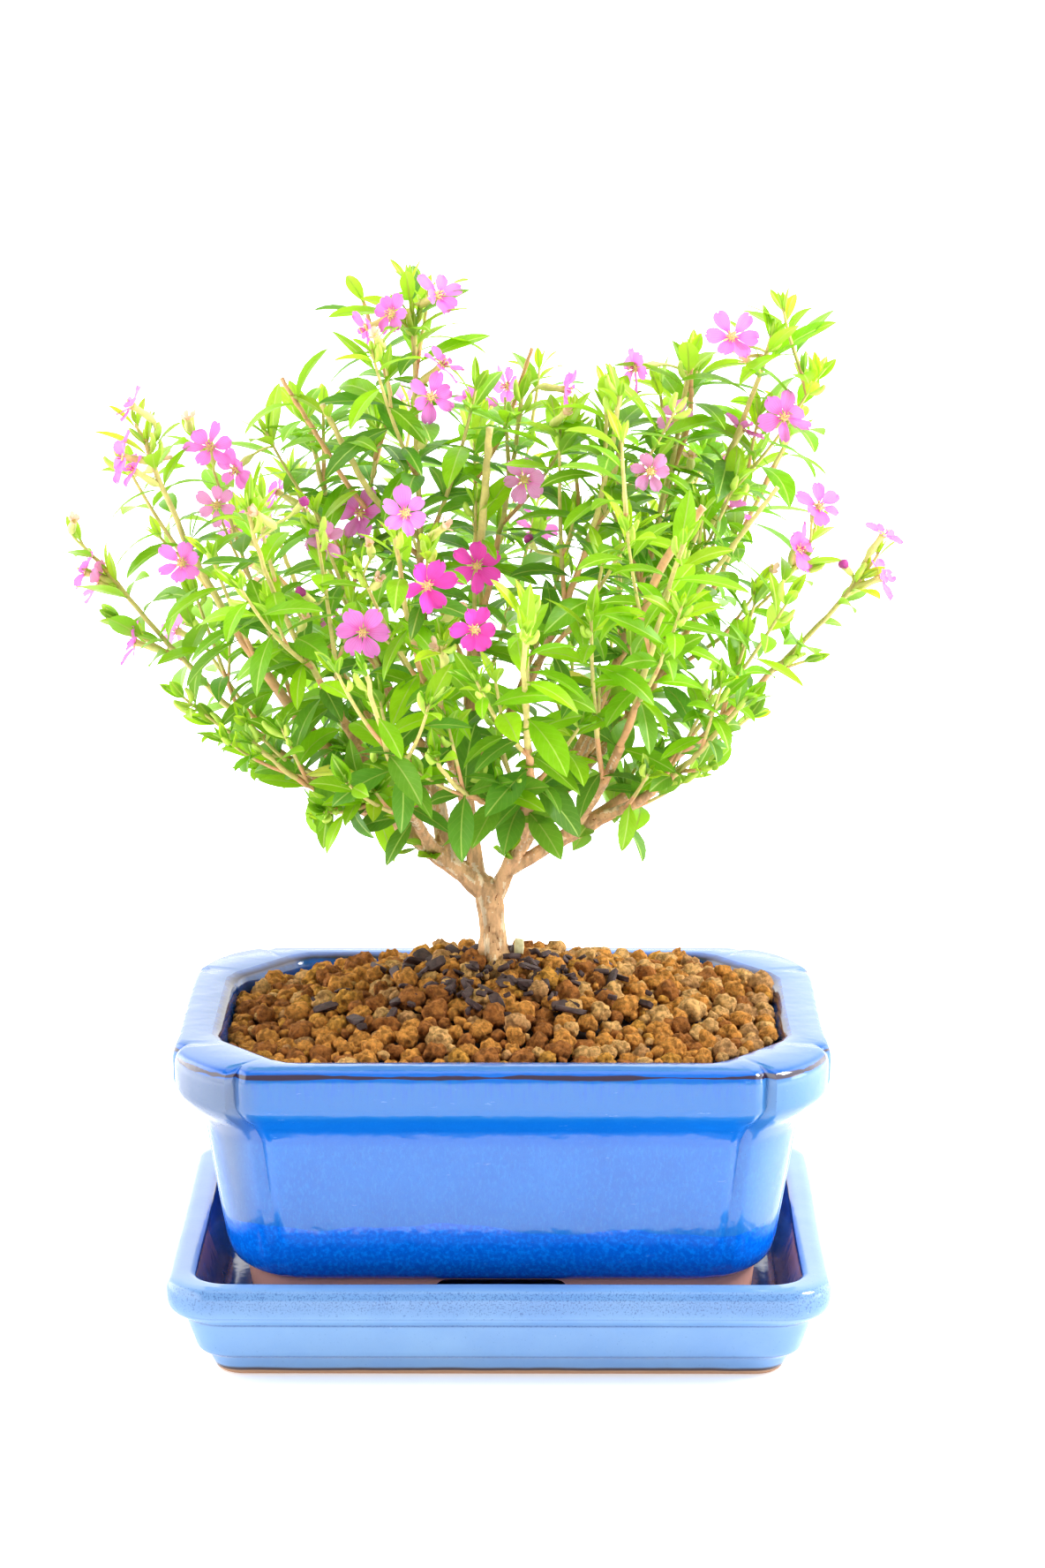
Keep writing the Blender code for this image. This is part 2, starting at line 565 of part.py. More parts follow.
class LimbPath:
    """A limb's curve, its bough's rings and the stem that carries on from it."""

    def __init__(self, limb, start, draw):
        fork = TRUNK_FORK
        heading, rise, reach = limb.tip
        leave = direction(*limb.leave)
        arrive = direction(heading, limb.tip_rise)
        tip = fork + direction(heading, rise) * reach * MM - arrive * BUD_PROFILE[-1][0]
        chord = (tip - start).length
        self.limb = limb
        self.ends = (start, start + leave * chord * LIMB_HANDLE,
                     tip - arrive * chord * LIMB_HANDLE, tip)
        waver = [Vector((draw.uniform(-1, 1), draw.uniform(-1, 1), draw.uniform(-1, 1)))
                 * BOUGH_WAVER for _ in range(BOUGH_RINGS + 1)]
        self.bough = []
        for ring in range(BOUGH_RINGS + 1):
            share = limb.share * ring / BOUGH_RINGS
            inner = 0 < ring < BOUGH_RINGS - 1
            self.bough.append(bezier(self.ends, share) + (waver[ring] if inner else Vector()))
        self.bough_radii = [self.radius(limb.share * ring / BOUGH_RINGS)
                            for ring in range(BOUGH_RINGS + 1)]
        end_way = (self.bough[-1] - self.bough[-2]).normalized()
        self.stem = [self.bough[-1] + end_way * GAP]
        for ring in range(1, STEM_RINGS + 1):
            share = limb.share + (1.0 - limb.share) * ring / STEM_RINGS
            self.stem.append(bezier(self.ends, share))
        self.stem_radii = [self.radius(limb.share + (1.0 - limb.share) * ring / STEM_RINGS)
                           for ring in range(STEM_RINGS + 1)]

    def radius(self, share):
        base = self.limb.radius * MM
        return LIMB_TIP_RADIUS + (base - LIMB_TIP_RADIUS) * max(0.0, 1.0 - share) ** LIMB_TAPER

    def on_bough(self, share):
        """A point on the bough's centre line, by its share of the bough's rings."""
        place = share * BOUGH_RINGS
        low = min(int(place), BOUGH_RINGS - 1)
        return self.bough[low].lerp(self.bough[low + 1], place - low)


def swollen(path, clearance):
    """A bough's tube grown by a clearance on its sides and its ends."""
    points = [point.copy() for point in path.bough]
    first = (points[1] - points[0]).normalized()
    last = (points[-1] - points[-2]).normalized()
    points[0] -= first * clearance
    points[-1] += last * clearance
    grow = clearance / math.cos(math.pi / BOUGH_SIDES)
    return tube(points, [radius + grow for radius in path.bough_radii], BOUGH_SIDES)


def trace_limbs():
    """Every limb's path, each starting on its parent's centre line."""
    draw = random.Random(FOLIAGE_SEED)
    paths = {}
    for limb in LIMBS:
        if limb.parent == "trunk":
            start = trunk_centre(limb.at)
            if limb.at == 1.0:
                start = start + UP * GAP
        else:
            start = paths[limb.parent].on_bough(limb.at)
        paths[limb.name] = LimbPath(limb, start, draw)
    return paths


def level_start(points, count):
    """Turn a tube's first ring level, so that it sits on the trunk's level cut."""
    heights = [point.z for point in points[:count]]
    for point in points[:count]:
        point.z = (min(heights) + max(heights)) / 2


def make_boughs(paths, finish):
    """One tapering tube for each limb, cut to sit against the limbs it springs from."""
    trunk_points, trunk_faces = loft(trunk_rings(GAP))
    for point in trunk_points[-TRUNK_SIDES:]:
        point.z = TRUNK_FORK.z + 0.5 * GAP
    trunk_cutter = add_object("trunk_clearance", trunk_points, trunk_faces)
    cutters = {"trunk": trunk_cutter}
    for name, path in paths.items():
        points, faces = tube(path.bough, path.bough_radii, BOUGH_SIDES)
        butted = path.limb.parent == "trunk" and path.limb.at == 1.0
        if butted:
            level_start(points, BOUGH_SIDES)
        bough = add_object("bough_" + name, points, faces, finish, SMOOTH_ANGLE)
        tree = BVHTree.FromPolygons(points, faces)
        if not butted:
            for other, cutter in cutters.items():
                polygons = [tuple(face.vertices) for face in cutter.data.polygons]
                corners = [vertex.co.copy() for vertex in cutter.data.vertices]
                if other == path.limb.parent or tree.overlap(BVHTree.FromPolygons(corners, polygons)):
                    cut_away(bough, cutter)
        grown_points, grown_faces = swollen(path, GAP)
        if butted:
            level_start(grown_points, BOUGH_SIDES)
        cutters[name] = add_object("clearance_" + name, grown_points, grown_faces)
    for cutter in cutters.values():
        cutter.hide_render = True
        cutter.display_type = "WIRE"


def in_crown(point):
    """Whether a point is within the crown's outline and its depth."""
    x, z = point.x / MM, point.z / MM
    heights, depths = zip(*CROWN_DEPTH)
    oval = math.sqrt(max(0.0, 1.0 - (point.x / CROWN_HALF_WIDTH) ** 2))
    depth = float(np.interp(z, heights, depths)) * oval * MM
    return inside(x, z, CROWN_OUTLINE) and abs(point.y - TRUNK_FORK.y) < depth


class Space:
    """The space that each mass keeps to, and the limbs that its leaves stay clear of."""

    def __init__(self, paths):
        starts, ends, owners = [], [], []
        for index, path in enumerate(paths.values()):
            for low, high in zip(path.stem, path.stem[1:]):
                starts.append(low)
                ends.append(high)
                owners.append(index)
        self.names = list(paths)
        self.starts = np.array(starts)
        self.spans = np.array(ends) - self.starts
        self.lengths = (self.spans ** 2).sum(axis=1)
        self.owners = np.array(owners)
        points, faces = loft(trunk_rings(LIMB_CLEARANCE))
        for path in paths.values():
            more_points, more_faces = swollen(path, LIMB_CLEARANCE)
            first = len(points)
            points = points + more_points
            faces = faces + [tuple(corner + first for corner in face) for face in more_faces]
        self.limbs = BVHTree.FromPolygons(points, faces)

    def holds(self, name, point):
        """Whether a point is in the crown, and nearer to the mass's stem than to any other."""
        if not in_crown(point):
            return False
        away = np.array(point) - self.starts
        along = np.clip((away * self.spans).sum(axis=1) / self.lengths, 0.0, 1.0)
        distance = np.linalg.norm(away - self.spans * along[:, None], axis=1)
        own = self.owners == self.names.index(name)
        return distance[own].min() + 2.0 * CELL_MARGIN < distance[~own].min()

    def takes(self, name, points, faces):
        """Whether a piece stays in its mass's space and clear of every limb."""
        for face in faces:
            corners = [points[corner] for corner in face]
            middle = sum(corners, Vector()) / len(corners)
            for first, second in zip(corners, corners[1:] + corners[:1]):
                if not self.holds(name, (first + second) / 2):
                    return False
            if not self.holds(name, middle):
                return False
        if not all(self.holds(name, point) for point in points):
            return False
        return not self.limbs.overlap(BVHTree.FromPolygons(points, faces))


def leaf(root, way, face_up, length):
    """A leaf of six faces: arched along its length, and raised along its midrib."""
    across = way.cross(face_up).normalized()
    upward = across.cross(way).normalized()
    half_width = across * 0.5 * LEAF_WIDTH_SHARE * length
    middle = root + (way * LEAF_WIDEST + upward * LEAF_ARCH) * length
    midrib = middle + upward * LEAF_THICKNESS_SHARE * length
    points = [root, root + way * length, middle + half_width, middle - half_width, midrib]
    faces = [(0, 2, 4), (2, 1, 4), (1, 3, 4), (3, 0, 4), (0, 3, 2), (1, 2, 3)]
    return points, faces


def flower(foot, way):
    """A calyx tube and a flat star of six petals at its end."""
    mouth = foot + way * CALYX_LENGTH
    tube_points, tube_faces = tube([foot, mouth], CALYX_RADIUS, TWIG_SIDES)
    across, other = side_frame(way)
    points = []
    for step in range(2 * FLOWER_PETALS):
        angle = math.pi * step / FLOWER_PETALS
        radius = FLOWER_RADIUS if step % 2 == 0 else FLOWER_WAIST
        points.append(mouth + (across * math.cos(angle) + other * math.sin(angle)) * radius)
    count = len(points)
    points.append(mouth + way * FLOWER_THICKNESS / 2)
    points.append(mouth - way * FLOWER_THICKNESS / 2)
    faces = []
    for step in range(count):
        after = (step + 1) % count
        faces.append((step, after, count))
        faces.append((after, step, count + 1))
    return (tube_points, tube_faces), (points, faces)


def side_shoot(stem, share, turn, length):
    """A shoot that leaves a stem at an angle and bends upwards."""
    start, tangent = along(stem, share * path_length(stem))
    across, other = side_frame(tangent)
    outward = across * math.cos(turn) + other * math.sin(turn)
    outward = (outward + UP * SHOOT_LIFT).normalized()
    leave = (tangent * math.cos(SHOOT_SPREAD) + outward * math.sin(SHOOT_SPREAD)).normalized()
    arrive = (leave + UP * SHOOT_LIFT + tangent * SHOOT_FOLLOW).normalized()
    last = start + (leave + arrive) * length / 2
    ends = (start, start + leave * length * SHOOT_HANDLE,
            last - arrive * length * SHOOT_HANDLE, last)
    return [bezier(ends, ring / SHOOT_RINGS) for ring in range(SHOOT_RINGS + 1)]


class Mass:
    """One mass of foliage as it grows: a stem, its shoots, and what stands on them."""

    def __init__(self, path, space, draw):
        self.name = path.limb.name
        self.path = path
        self.space = space
        self.draw = draw
        self.pieces = [twig(path.stem, path.stem_radii)]
        self.twigs = [BVHTree.FromPolygons(*self.pieces[0])]
        self.blades = []

    def crosses(self, tree, own_twig, skipped=0):
        """Whether a piece runs through another of the mass that it doesn't spring from."""
        blades = self.blades[:len(self.blades) - skipped]
        others = [twig for twig in self.twigs if twig is not own_twig]
        return any(tree.overlap(other) for other in blades + others)

    def add_pair(self, spot, tangent, radius, share, turn, own_twig):
        """Two opposite leaves, each tried at a few angles until it has room."""
        across, other = side_frame(tangent)
        open_angle = LEAF_OPEN[0] + (LEAF_OPEN[1] - LEAF_OPEN[0]) * share
        size = LEAF_LENGTH[0] + (LEAF_LENGTH[1] - LEAF_LENGTH[0]) * share
        placed = 0
        for side in (0.0, math.pi):
            for attempt in range(LEAF_ATTEMPTS):
                swing = LEAF_SWING * (attempt + 0.5)
                angle = turn + side + self.draw.uniform(-swing, swing)
                lean = open_angle + self.draw.uniform(-swing, swing)
                scatter = self.draw.uniform(-LEAF_SCATTER, LEAF_SCATTER)
                length = size * (1.0 + scatter) * LEAF_SHRINK ** attempt
                outward = across * math.cos(angle) + other * math.sin(angle)
                way = (tangent * math.cos(lean) + outward * math.sin(lean)).normalized()
                face_up = tangent * math.sin(lean) - outward * math.cos(lean)
                face_up = (face_up + UP * LEAF_SKYWARD).normalized()
                blade = leaf(spot - way * radius * LEAF_ROOT, way, face_up, length)
                tree = BVHTree.FromPolygons(*blade)
                if self.space.takes(self.name, *blade) and not self.crosses(tree, own_twig, placed):
                    self.pieces.append(blade)
                    self.blades.append(tree)
                    placed += 1
                    break

    def add_leaves(self, shoot, radii, own_twig, first_pair):
        """Opposite pairs along a shoot, each a quarter turn from the last."""
        length = path_length(shoot)
        turn = self.draw.uniform(0.0, math.pi)
        distance = first_pair
        while distance < length - LAST_PAIR:
            share = distance / length
            spot, tangent = along(shoot, distance)
            radius = radii[0] + (radii[-1] - radii[0]) * share
            self.add_pair(spot, tangent, radius, share, turn, own_twig)
            turn += math.pi / 2
            distance += PAIR_GAP * (1.0 - self.draw.uniform(0.0, PAIR_SCATTER))

    def add_shoot(self, share, turn):
        """A side shoot, cut short where it would leave the mass's space."""
        stem_length = path_length(self.path.stem)
        scatter = self.draw.uniform(-SHOOT_SCATTER, SHOOT_SCATTER)
        length = SHOOT_SHARE * stem_length * (1.0 - share) * (1.0 + scatter) + SHOOT_MIN
        shoot = side_shoot(self.path.stem, share, turn, length)
        while len(shoot) > 1 and not self.space.holds(self.name, shoot[-1]):
            shoot.pop()
        if len(shoot) < 3 or path_length(shoot) < SHOOT_MIN:
            return None
        radii = [SHOOT_RADIUS[0] + (SHOOT_RADIUS[1] - SHOOT_RADIUS[0]) * ring / (len(shoot) - 1)
                 for ring in range(len(shoot))]
        outer = twig(shoot[1:], radii[1:])
        tree = BVHTree.FromPolygons(*outer)
        if not self.space.takes(self.name, *outer) or self.crosses(tree, None):
            return None
        self.pieces.append(twig(shoot, radii))
        self.twigs.append(BVHTree.FromPolygons(*self.pieces[-1]))
        return shoot, radii, self.twigs[-1]

    def add_flower(self, shoot, own_twig):
        """A flower near a shoot's end, turned outwards from the plant."""
        length = path_length(shoot)
        for _ in range(FLOWER_ATTEMPTS):
            spot, tangent = along(shoot, length - self.draw.uniform(*FLOWER_PLACE))
            outward = Vector((spot.x - TRUNK_FORK.x, spot.y - TRUNK_FORK.y, 0.0)).normalized()
            spin = Matrix.Rotation(self.draw.uniform(-FLOWER_SPIN, FLOWER_SPIN), 3, "Z")
            way = (spin @ outward + tangent * FLOWER_FOLLOW + UP * FLOWER_LIFT).normalized()
            parts = flower(spot, way)
            trees = [BVHTree.FromPolygons(*part) for part in parts]
            if not all(self.space.takes(self.name, *part) for part in parts):
                continue
            if self.crosses(trees[0], own_twig) or self.crosses(trees[1], None):
                continue
            self.pieces += parts
            self.blades += trees
            return True
        return False


def grow_mass(path, space, draw):
    """The pieces of one mass: its stem first, then shoots, flowers and leaves."""
    mass = Mass(path, space, draw)
    shoots = [(path.stem, path.stem_radii, mass.twigs[0])]
    turn = draw.uniform(0.0, 2.0 * math.pi)
    for share in SHOOT_STARTS:
        for _ in range(SHOOT_ATTEMPTS):
            grown = mass.add_shoot(share, turn)
            turn += GOLDEN_TURN
            if grown is not None:
                shoots.append(grown)
                break
    for shoot, _, own_twig in shoots:
        if mass.add_flower(shoot, own_twig):
            break
    first_pair = STEM_FIRST_PAIR
    for shoot, radii, own_twig in shoots:
        mass.add_leaves(shoot, radii, own_twig, first_pair)
        first_pair = SHOOT_FIRST_PAIR
    return mass.pieces


def keep_largest(mesh):
    """Keep a mesh's largest shell, which drops loose scraps and fills sealed hollows."""
    work = bmesh.new()
    work.from_mesh(mesh)
    bmesh.ops.remove_doubles(work, verts=work.verts, dist=WELD)
    bmesh.ops.dissolve_degenerate(work, dist=WELD, edges=work.edges)
    left = set(work.faces)
    shells = []
    while left:
        shell, front = set(), [left.pop()]
        while front:
            face = front.pop()
            shell.add(face)
            for edge in face.edges:
                for neighbour in edge.link_faces:
                    if neighbour in left:
                        left.remove(neighbour)
                        front.append(neighbour)
        shells.append(shell)
    shells.sort(key=len, reverse=True)
    extra = [face for shell in shells[1:] for face in shell]
    bmesh.ops.delete(work, geom=extra, context="FACES")
    loose = [vertex for vertex in work.verts if not vertex.link_faces]
    bmesh.ops.delete(work, geom=loose, context="VERTS")
    work.to_mesh(mesh)
    work.free()


def join_mass(name, pieces, finish):
    """Fuse a mass's pieces into one closed solid."""
    stem = add_object("foliage_" + name, *pieces[0], finish)
    group = bpy.data.collections.new("pieces_" + name)
    bpy.context.scene.collection.children.link(group)
    for points, faces in pieces[1:]:
        piece = add_object("piece", points, faces)
        bpy.context.scene.collection.objects.unlink(piece)
        group.objects.link(piece)
    union = stem.modifiers.new("join", "BOOLEAN")
    union.operation = "UNION"
    union.solver = "EXACT"
    union.operand_type = "COLLECTION"
    union.collection = group
    graph = bpy.context.evaluated_depsgraph_get()
    joined = bpy.data.meshes.new_from_object(stem.evaluated_get(graph))
    stem.modifiers.clear()
    stem.data = joined
    joined.name = "foliage_" + name
    for piece in list(group.objects):
        bpy.data.objects.remove(piece, do_unlink=True)
    bpy.data.collections.remove(group)
    keep_largest(joined)


def make_foliage(paths, finish):
    space = Space(paths)
    for number, (name, path) in enumerate(paths.items()):
        draw = random.Random(FOLIAGE_SEED + number)
        join_mass(name, grow_mass(path, space, draw), finish)


def main():
    clear_scene()
    make_tray(material("tray_glaze", (0.10, 0.30, 0.66), 0.12))
    make_pot(material("pot_glaze", (0.03, 0.20, 0.68), 0.10))
    make_soil(material("clay_grains", (0.36, 0.17, 0.06), 0.95))
    bark = material("bark", (0.44, 0.26, 0.14), 0.85)
    make_trunk(bark)
    paths = trace_limbs()
    make_boughs(paths, bark)
    make_foliage(paths, material("leaf_green", (0.16, 0.38, 0.03), 0.45))


main()
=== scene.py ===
"""Looks of a small flowering cuphea grown as a bonsai in a glazed pot on its drip tray.

Metres, +Z up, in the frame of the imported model. Each piece of the plant and of its pot is
built by an operator from the settings in the sidebar, on the frame's own nodes.
"""

import json
import random
from collections import namedtuple
from math import atan2, ceil, cos, exp, hypot, pi, radians, sin, sqrt

import bmesh
import bpy
import numpy as np
from mathutils import Matrix, Vector, noise
from mathutils.kdtree import KDTree

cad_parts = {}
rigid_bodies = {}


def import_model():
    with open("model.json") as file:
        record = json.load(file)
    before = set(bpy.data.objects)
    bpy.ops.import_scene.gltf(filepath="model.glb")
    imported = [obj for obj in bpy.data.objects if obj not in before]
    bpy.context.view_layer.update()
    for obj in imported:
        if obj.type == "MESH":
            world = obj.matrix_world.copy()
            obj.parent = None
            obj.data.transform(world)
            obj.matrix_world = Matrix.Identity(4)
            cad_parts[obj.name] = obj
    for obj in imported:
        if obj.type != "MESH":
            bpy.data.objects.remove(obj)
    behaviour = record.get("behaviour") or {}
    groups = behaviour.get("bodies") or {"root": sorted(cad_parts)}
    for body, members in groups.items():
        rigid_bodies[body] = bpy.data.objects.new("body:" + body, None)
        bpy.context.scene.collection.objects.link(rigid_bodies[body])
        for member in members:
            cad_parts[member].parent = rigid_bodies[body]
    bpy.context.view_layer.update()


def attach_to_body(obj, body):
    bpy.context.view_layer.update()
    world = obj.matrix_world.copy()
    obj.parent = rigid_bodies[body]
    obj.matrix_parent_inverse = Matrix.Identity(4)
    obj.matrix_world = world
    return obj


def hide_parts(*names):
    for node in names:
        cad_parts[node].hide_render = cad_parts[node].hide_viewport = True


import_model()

bl_info = {
    "name": "Cuphea bonsai looks",
    "version": (1, 0, 0),
    "blender": (4, 5, 0),
    "location": "3D View > Sidebar > Bonsai",
    "description": "Dresses a packed cuphea bonsai: glazed pot, soil, bark, leaves and flowers",
    "category": "Object",
}

MM = 0.001
UP = Vector((0.0, 0.0, 1.0))

# The photograph's frame and the camera that it was taken with
PHOTO_WIDTH = 1184
PHOTO_HEIGHT = 1776
PHOTO_FOCAL = 5311.0                # focal length in pixels
CAMERA_PLACE = Vector((9.0, -1060.0, 356.7)) * MM
CAMERA_PITCH = radians(90.0 - 12.25)
CAMERA_YAW = radians(0.21)
CAMERA_TURN = Matrix.Rotation(CAMERA_YAW, 3, "Z") @ Matrix.Rotation(CAMERA_PITCH, 3, "X")
SENSOR = 36.0
FLOOR_REACH = 9.0
SOFT_BOXES = (("left", (-0.85, -0.40, 0.50), 0.70), ("right", (0.80, -0.10, 0.80), 0.35),
              ("top", (0.10, -0.10, 1.20), 0.80))       # name, place and size
LIGHT_AIM = Vector((0.0, 0.0, 0.12))

# Profiles as (height, half width) in mm, as the pot and the tray were made
TRAY_HALF = (75.2, 59.6)
TRAY_CORNER = 11.6
TRAY_OUTER = ((0.0, 63.6), (0.5, 64.4), (4.6, 66.4), (5.2, 67.9), (6.1, 68.7), (13.6, 71.1),
              (14.4, 72.0), (15.5, 73.9), (17.0, 74.9), (18.8, 75.2), (21.3, 75.2), (22.7, 74.5),
              (23.3, 73.2))
TRAY_INNER = ((23.3, 69.8), (22.7, 68.7), (21.3, 68.1), (12.2, 65.0), (10.4, 63.9), (10.0, 62.0))
POT_HALF = (75.0, 56.7)
POT_LOBE = (15.6, 22.0)
POT_LOBE_POWER = 1.65
POT_LOBE_STEP = 0.5
POT_CREASE = (0.5, 2.4)
POT_SHOULDER = 2.8
POT_OFFSET = Vector((0.4, 1.6, 0.0)) * MM
POT_OUTER = ((10.3, 57.8), (19.8, 59.2), (20.2, 60.5), (21.4, 62.2), (24.2, 63.4), (34.0, 65.0),
             (50.0, 67.3), (54.4, 68.0), (57.8, 69.8), (60.6, 72.8), (63.4, 74.8), (70.2, 75.0),
             (72.2, 74.4), (73.2, 72.9))
POT_RIM = (11.2, 9.2)
POT_MOUTH = (POT_HALF[0] - POT_RIM[0], POT_HALF[1] - POT_RIM[1])
POT_MOUTH_CHAMFER = (16.0, 21.0)
POT_MOUTH_EASE = 0.12
POT_INNER = ((73.2, 66.4), (72.5, 64.7), (70.8, 63.8), (34.0, 57.6), (29.0, 53.0))
POT_ARCH = (31.0, 19.6, 3.5)        # width, top and bend of the opening in the foot
POT_RECESS = (16.8, 7.6, 9.0)       # top, inset and corner of the hollow under the pot

# Soil, trunk and limbs, as they were made
SOIL_EDGE_HEIGHT = 68.6
SOIL_TOP = 68.0 * MM                # where the mouth bounds the loose grains
SOIL_CLEARANCE = 2.5 * MM
GRAIN_SEED = 11
GRAIN_KINDS = ("orange", "tan", "brown", "grey", "ochre")
GRAIN_LUMPS = 14                    # different lumps of each fineness
GRAIN_TRIES = 30                    # places that are tried for one grain
CHIP_SPREAD = (17.0, 10.0)
SOIL_MOUND = 14.0
SOIL_SPREAD = (34.0, 30.0)
SOIL_TILT = (0.030, -0.012)
TRUNK_FOOT = Vector((-2.0, 8.0, 82.75)) * MM
TRUNK_FORK = Vector((-3.0, 8.0, 99.0)) * MM
TRUNK_RADIUS = ((0.00, 4.1), (0.06, 3.6), (0.16, 3.0), (0.35, 2.75), (0.60, 2.65), (0.80, 2.7),
                (1.00, 2.45))
TRUNK_SWAY = 0.5 * MM
ROOT_LOBES = 5
ROOT_LOBE_SHARE = 0.22
# Roots that show: turn, reach and radius
ROOTS = ((-35, 7.0, 1.7), (-150, 6.5, 1.4), (60, 7.0, 1.5), (160, 6.0, 1.3))
# Limbs: the share of the parent where each starts, its heading and rise there, its tip from the
# fork (heading, rise, distance), its rise at the tip, the share that is bough, and its radius
Limb = namedtuple("Limb", "name parent at leave tip tip_rise share radius")
LIMBS = tuple(Limb(*row) for row in (
    ("left_long", "trunk", 1.00, (180, 36), (-171, 55, 141), 72, 0.25, 2.35),
    ("top_spire", "left_long", 0.34, (115, 68), (-146, 82, 146), 88, 0.22, 1.70),
    ("centre_top", "left_long", 0.08, (140, 74), (0, 86, 125), 84, 0.25, 1.60),
    ("centre_front", "trunk", 0.80, (-12, 62), (-82, 51, 104), 70, 0.26, 1.75),
    ("right_tip", "centre_front", 0.42, (2, 28), (-5, 42, 123), 50, 0.24, 1.45),
    ("right_top", "centre_front", 0.62, (22, 50), (-2, 64, 154), 72, 0.20, 1.40),
    ("left_far", "left_long", 0.62, (172, 22), (172, 40, 124), 50, 0.18, 1.25),
    ("left_low", "left_long", 0.84, (-142, 16), (-154, 36, 80), 46, 0.22, 1.05),
    ("left_mid", "left_long", 0.74, (-150, 62), (-148, 58, 122), 76, 0.15, 1.15),
    ("left_front", "left_long", 0.46, (-112, 40), (-114, 46, 98), 62, 0.20, 1.20),
    ("left_upper", "top_spire", 0.80, (172, 52), (167, 69, 127), 75, 0.15, 1.10),
    ("front_upper", "centre_top", 0.62, (-108, 48), (-113, 62, 113), 75, 0.16, 1.10),
    ("centre_right", "centre_top", 0.84, (-10, 56), (-32, 74, 133), 82, 0.14, 1.10),
    ("right_front", "right_tip", 0.62, (-46, 46), (-50, 54, 122), 64, 0.16, 1.15),
    ("front_low", "centre_front", 0.84, (-100, 46), (-104, 44, 70), 54, 0.14, 0.90),
    ("low_left", "left_long", 0.90, (-120, 30), (-140, 38, 58), 38, 0.16, 0.90),
    ("right_low", "right_tip", 0.86, (-32, 18), (-25, 39, 90), 48, 0.18, 1.00),
    ("low_right", "right_tip", 0.36, (30, 12), (6, 33, 58), 38, 0.26, 0.95),
    ("right_inner", "right_top", 0.50, (-20, 60), (4, 70, 142), 80, 0.16, 1.15),
    ("right_upper", "right_top", 0.60, (26, 36), (18, 55, 137), 62, 0.16, 1.15),
    ("back_right", "right_top", 0.86, (62, 42), (46, 53, 129), 62, 0.14, 1.10),
    ("back_low_right", "right_top", 0.36, (62, 14), (49, 42, 86), 48, 0.24, 1.00),
    ("back_left", "top_spire", 0.56, (142, 30), (136, 49, 122), 62, 0.18, 1.15),
    ("back_low_left", "top_spire", 0.30, (132, 8), (131, 42, 86), 48, 0.24, 1.00),
    ("back_centre", "centre_top", 0.40, (96, 38), (93, 60, 131), 72, 0.20, 1.20)))
LIMB_HANDLE = 0.35
LIMB_TIP_RADIUS = 0.55 * MM
LIMB_TAPER = 1.6
LIMB_BUD = 8.0 * MM
BOUGH_RINGS = 4
BOUGH_WAVER = 0.35 * MM
LIMB_SEED = 17
BUD_SEED = 77
FLOWER_SEED = 78
GOLDEN_ANGLE = radians(137.5)
UPPER_BARK = 0.128                  # height over which the bark is redder
STEM_STEPS = 22
STEM_LEAST = 12                     # points that a stem keeps where the view cuts it short
STEM_WAVER = 0.25
SHOOT_SPREAD = 34.0                 # degrees between a shoot and what bears it
SHOOT_TIP = 0.34 * MM
SPACE_SLACK = 1.5 * MM              # how far a mass may reach into its neighbours' space
SHOOT_STARTS = (0.06, 0.24, 0.42, 0.62)     # where side shoots leave a stem, as shares of it
# The crown seen from the front, as x and z, and half its depth at heights, in mm
CROWN_OUTLINE = tuple(Vector(spot) for spot in (
    (-101, 189), (-97, 170), (-68, 135), (-42, 120), (-39, 107), (0, 103), (32, 108), (69, 150),
    (92, 182), (78, 198), (77, 234), (64, 243), (34, 231), (4, 231), (-12, 246), (-31, 245),
    (-55, 223), (-60, 210), (-88, 218), (-93, 202)))
CROWN_DEPTH = ((100, 20), (125, 42), (150, 58), (185, 74), (215, 68), (235, 46), (248, 26))
CROWN_HALF_WIDTH = 108.0 * MM
CROWN_MIDDLE = (-4.0, 178.0)

# The crown's outline as places in the photograph's frame, in pixels right and down
VIEW_OUTLINE = tuple(Vector(pixel) for pixel in (
    (48, 556), (50, 604), (56, 680), (98, 716), (150, 736), (180, 790), (218, 830), (258, 880),
    (340, 900), (366, 978), (468, 988), (520, 1010), (592, 1010), (602, 990), (728, 980), (734, 900),
    (804, 884), (848, 824), (898, 796), (954, 764), (948, 714), (994, 686), (1026, 620), (1004, 580),
    (960, 556), (930, 470), (964, 350), (880, 306), (722, 346), (600, 366), (522, 288), (398, 288),
    (306, 416), (126, 436), (88, 500)))

# Shoots that were cut back and show bare: pixels of the cut and of the foot, the cut's place
# in depth (mm), the radius there (mm) and the length below the cut without leaves (mm)
CUT_FOOT = 14.0                     # how far below its foot a cut shoot leaves a stem
CUT_STEPS = (6, 12)                 # steps of its bend and of its straight end
CutShoot = namedtuple("CutShoot", "cut foot depth radius colour bare")
CUT_SHOOTS = tuple(CutShoot(*row) for row in (
    ((406, 324), (446, 452), 6, 0.66, "red", 3),
    ((319, 428), (404, 566), 0, 0.68, "red", 4),
    ((365, 458), (420, 562), -4, 0.90, "green", 3),
    ((415, 432), (432, 476), 22, 0.62, "red", 10),
    ((603, 394), (572, 486), 12, 0.66, "red", 20),
    ((555, 484), (545, 612), -8, 1.10, "green", 26),
    ((783, 398), (783, 470), 10, 0.66, "red", 15),
    ((708, 486), (690, 560), -6, 0.80, "green", 6),
    ((881, 552), (796, 664), -14, 0.78, "green", 14),
    ((797, 574), (752, 636), -34, 1.25, "red", 20)))

# Leafy tips of shoots that stand up out of the crown: pixels of the photograph
SHOOT_TIPS = ((463, 309), (486, 318), (468, 452), (612, 405), (572, 440), (688, 428), (746, 424),
              (886, 338), (908, 450), (366, 452), (704, 486), (648, 470))

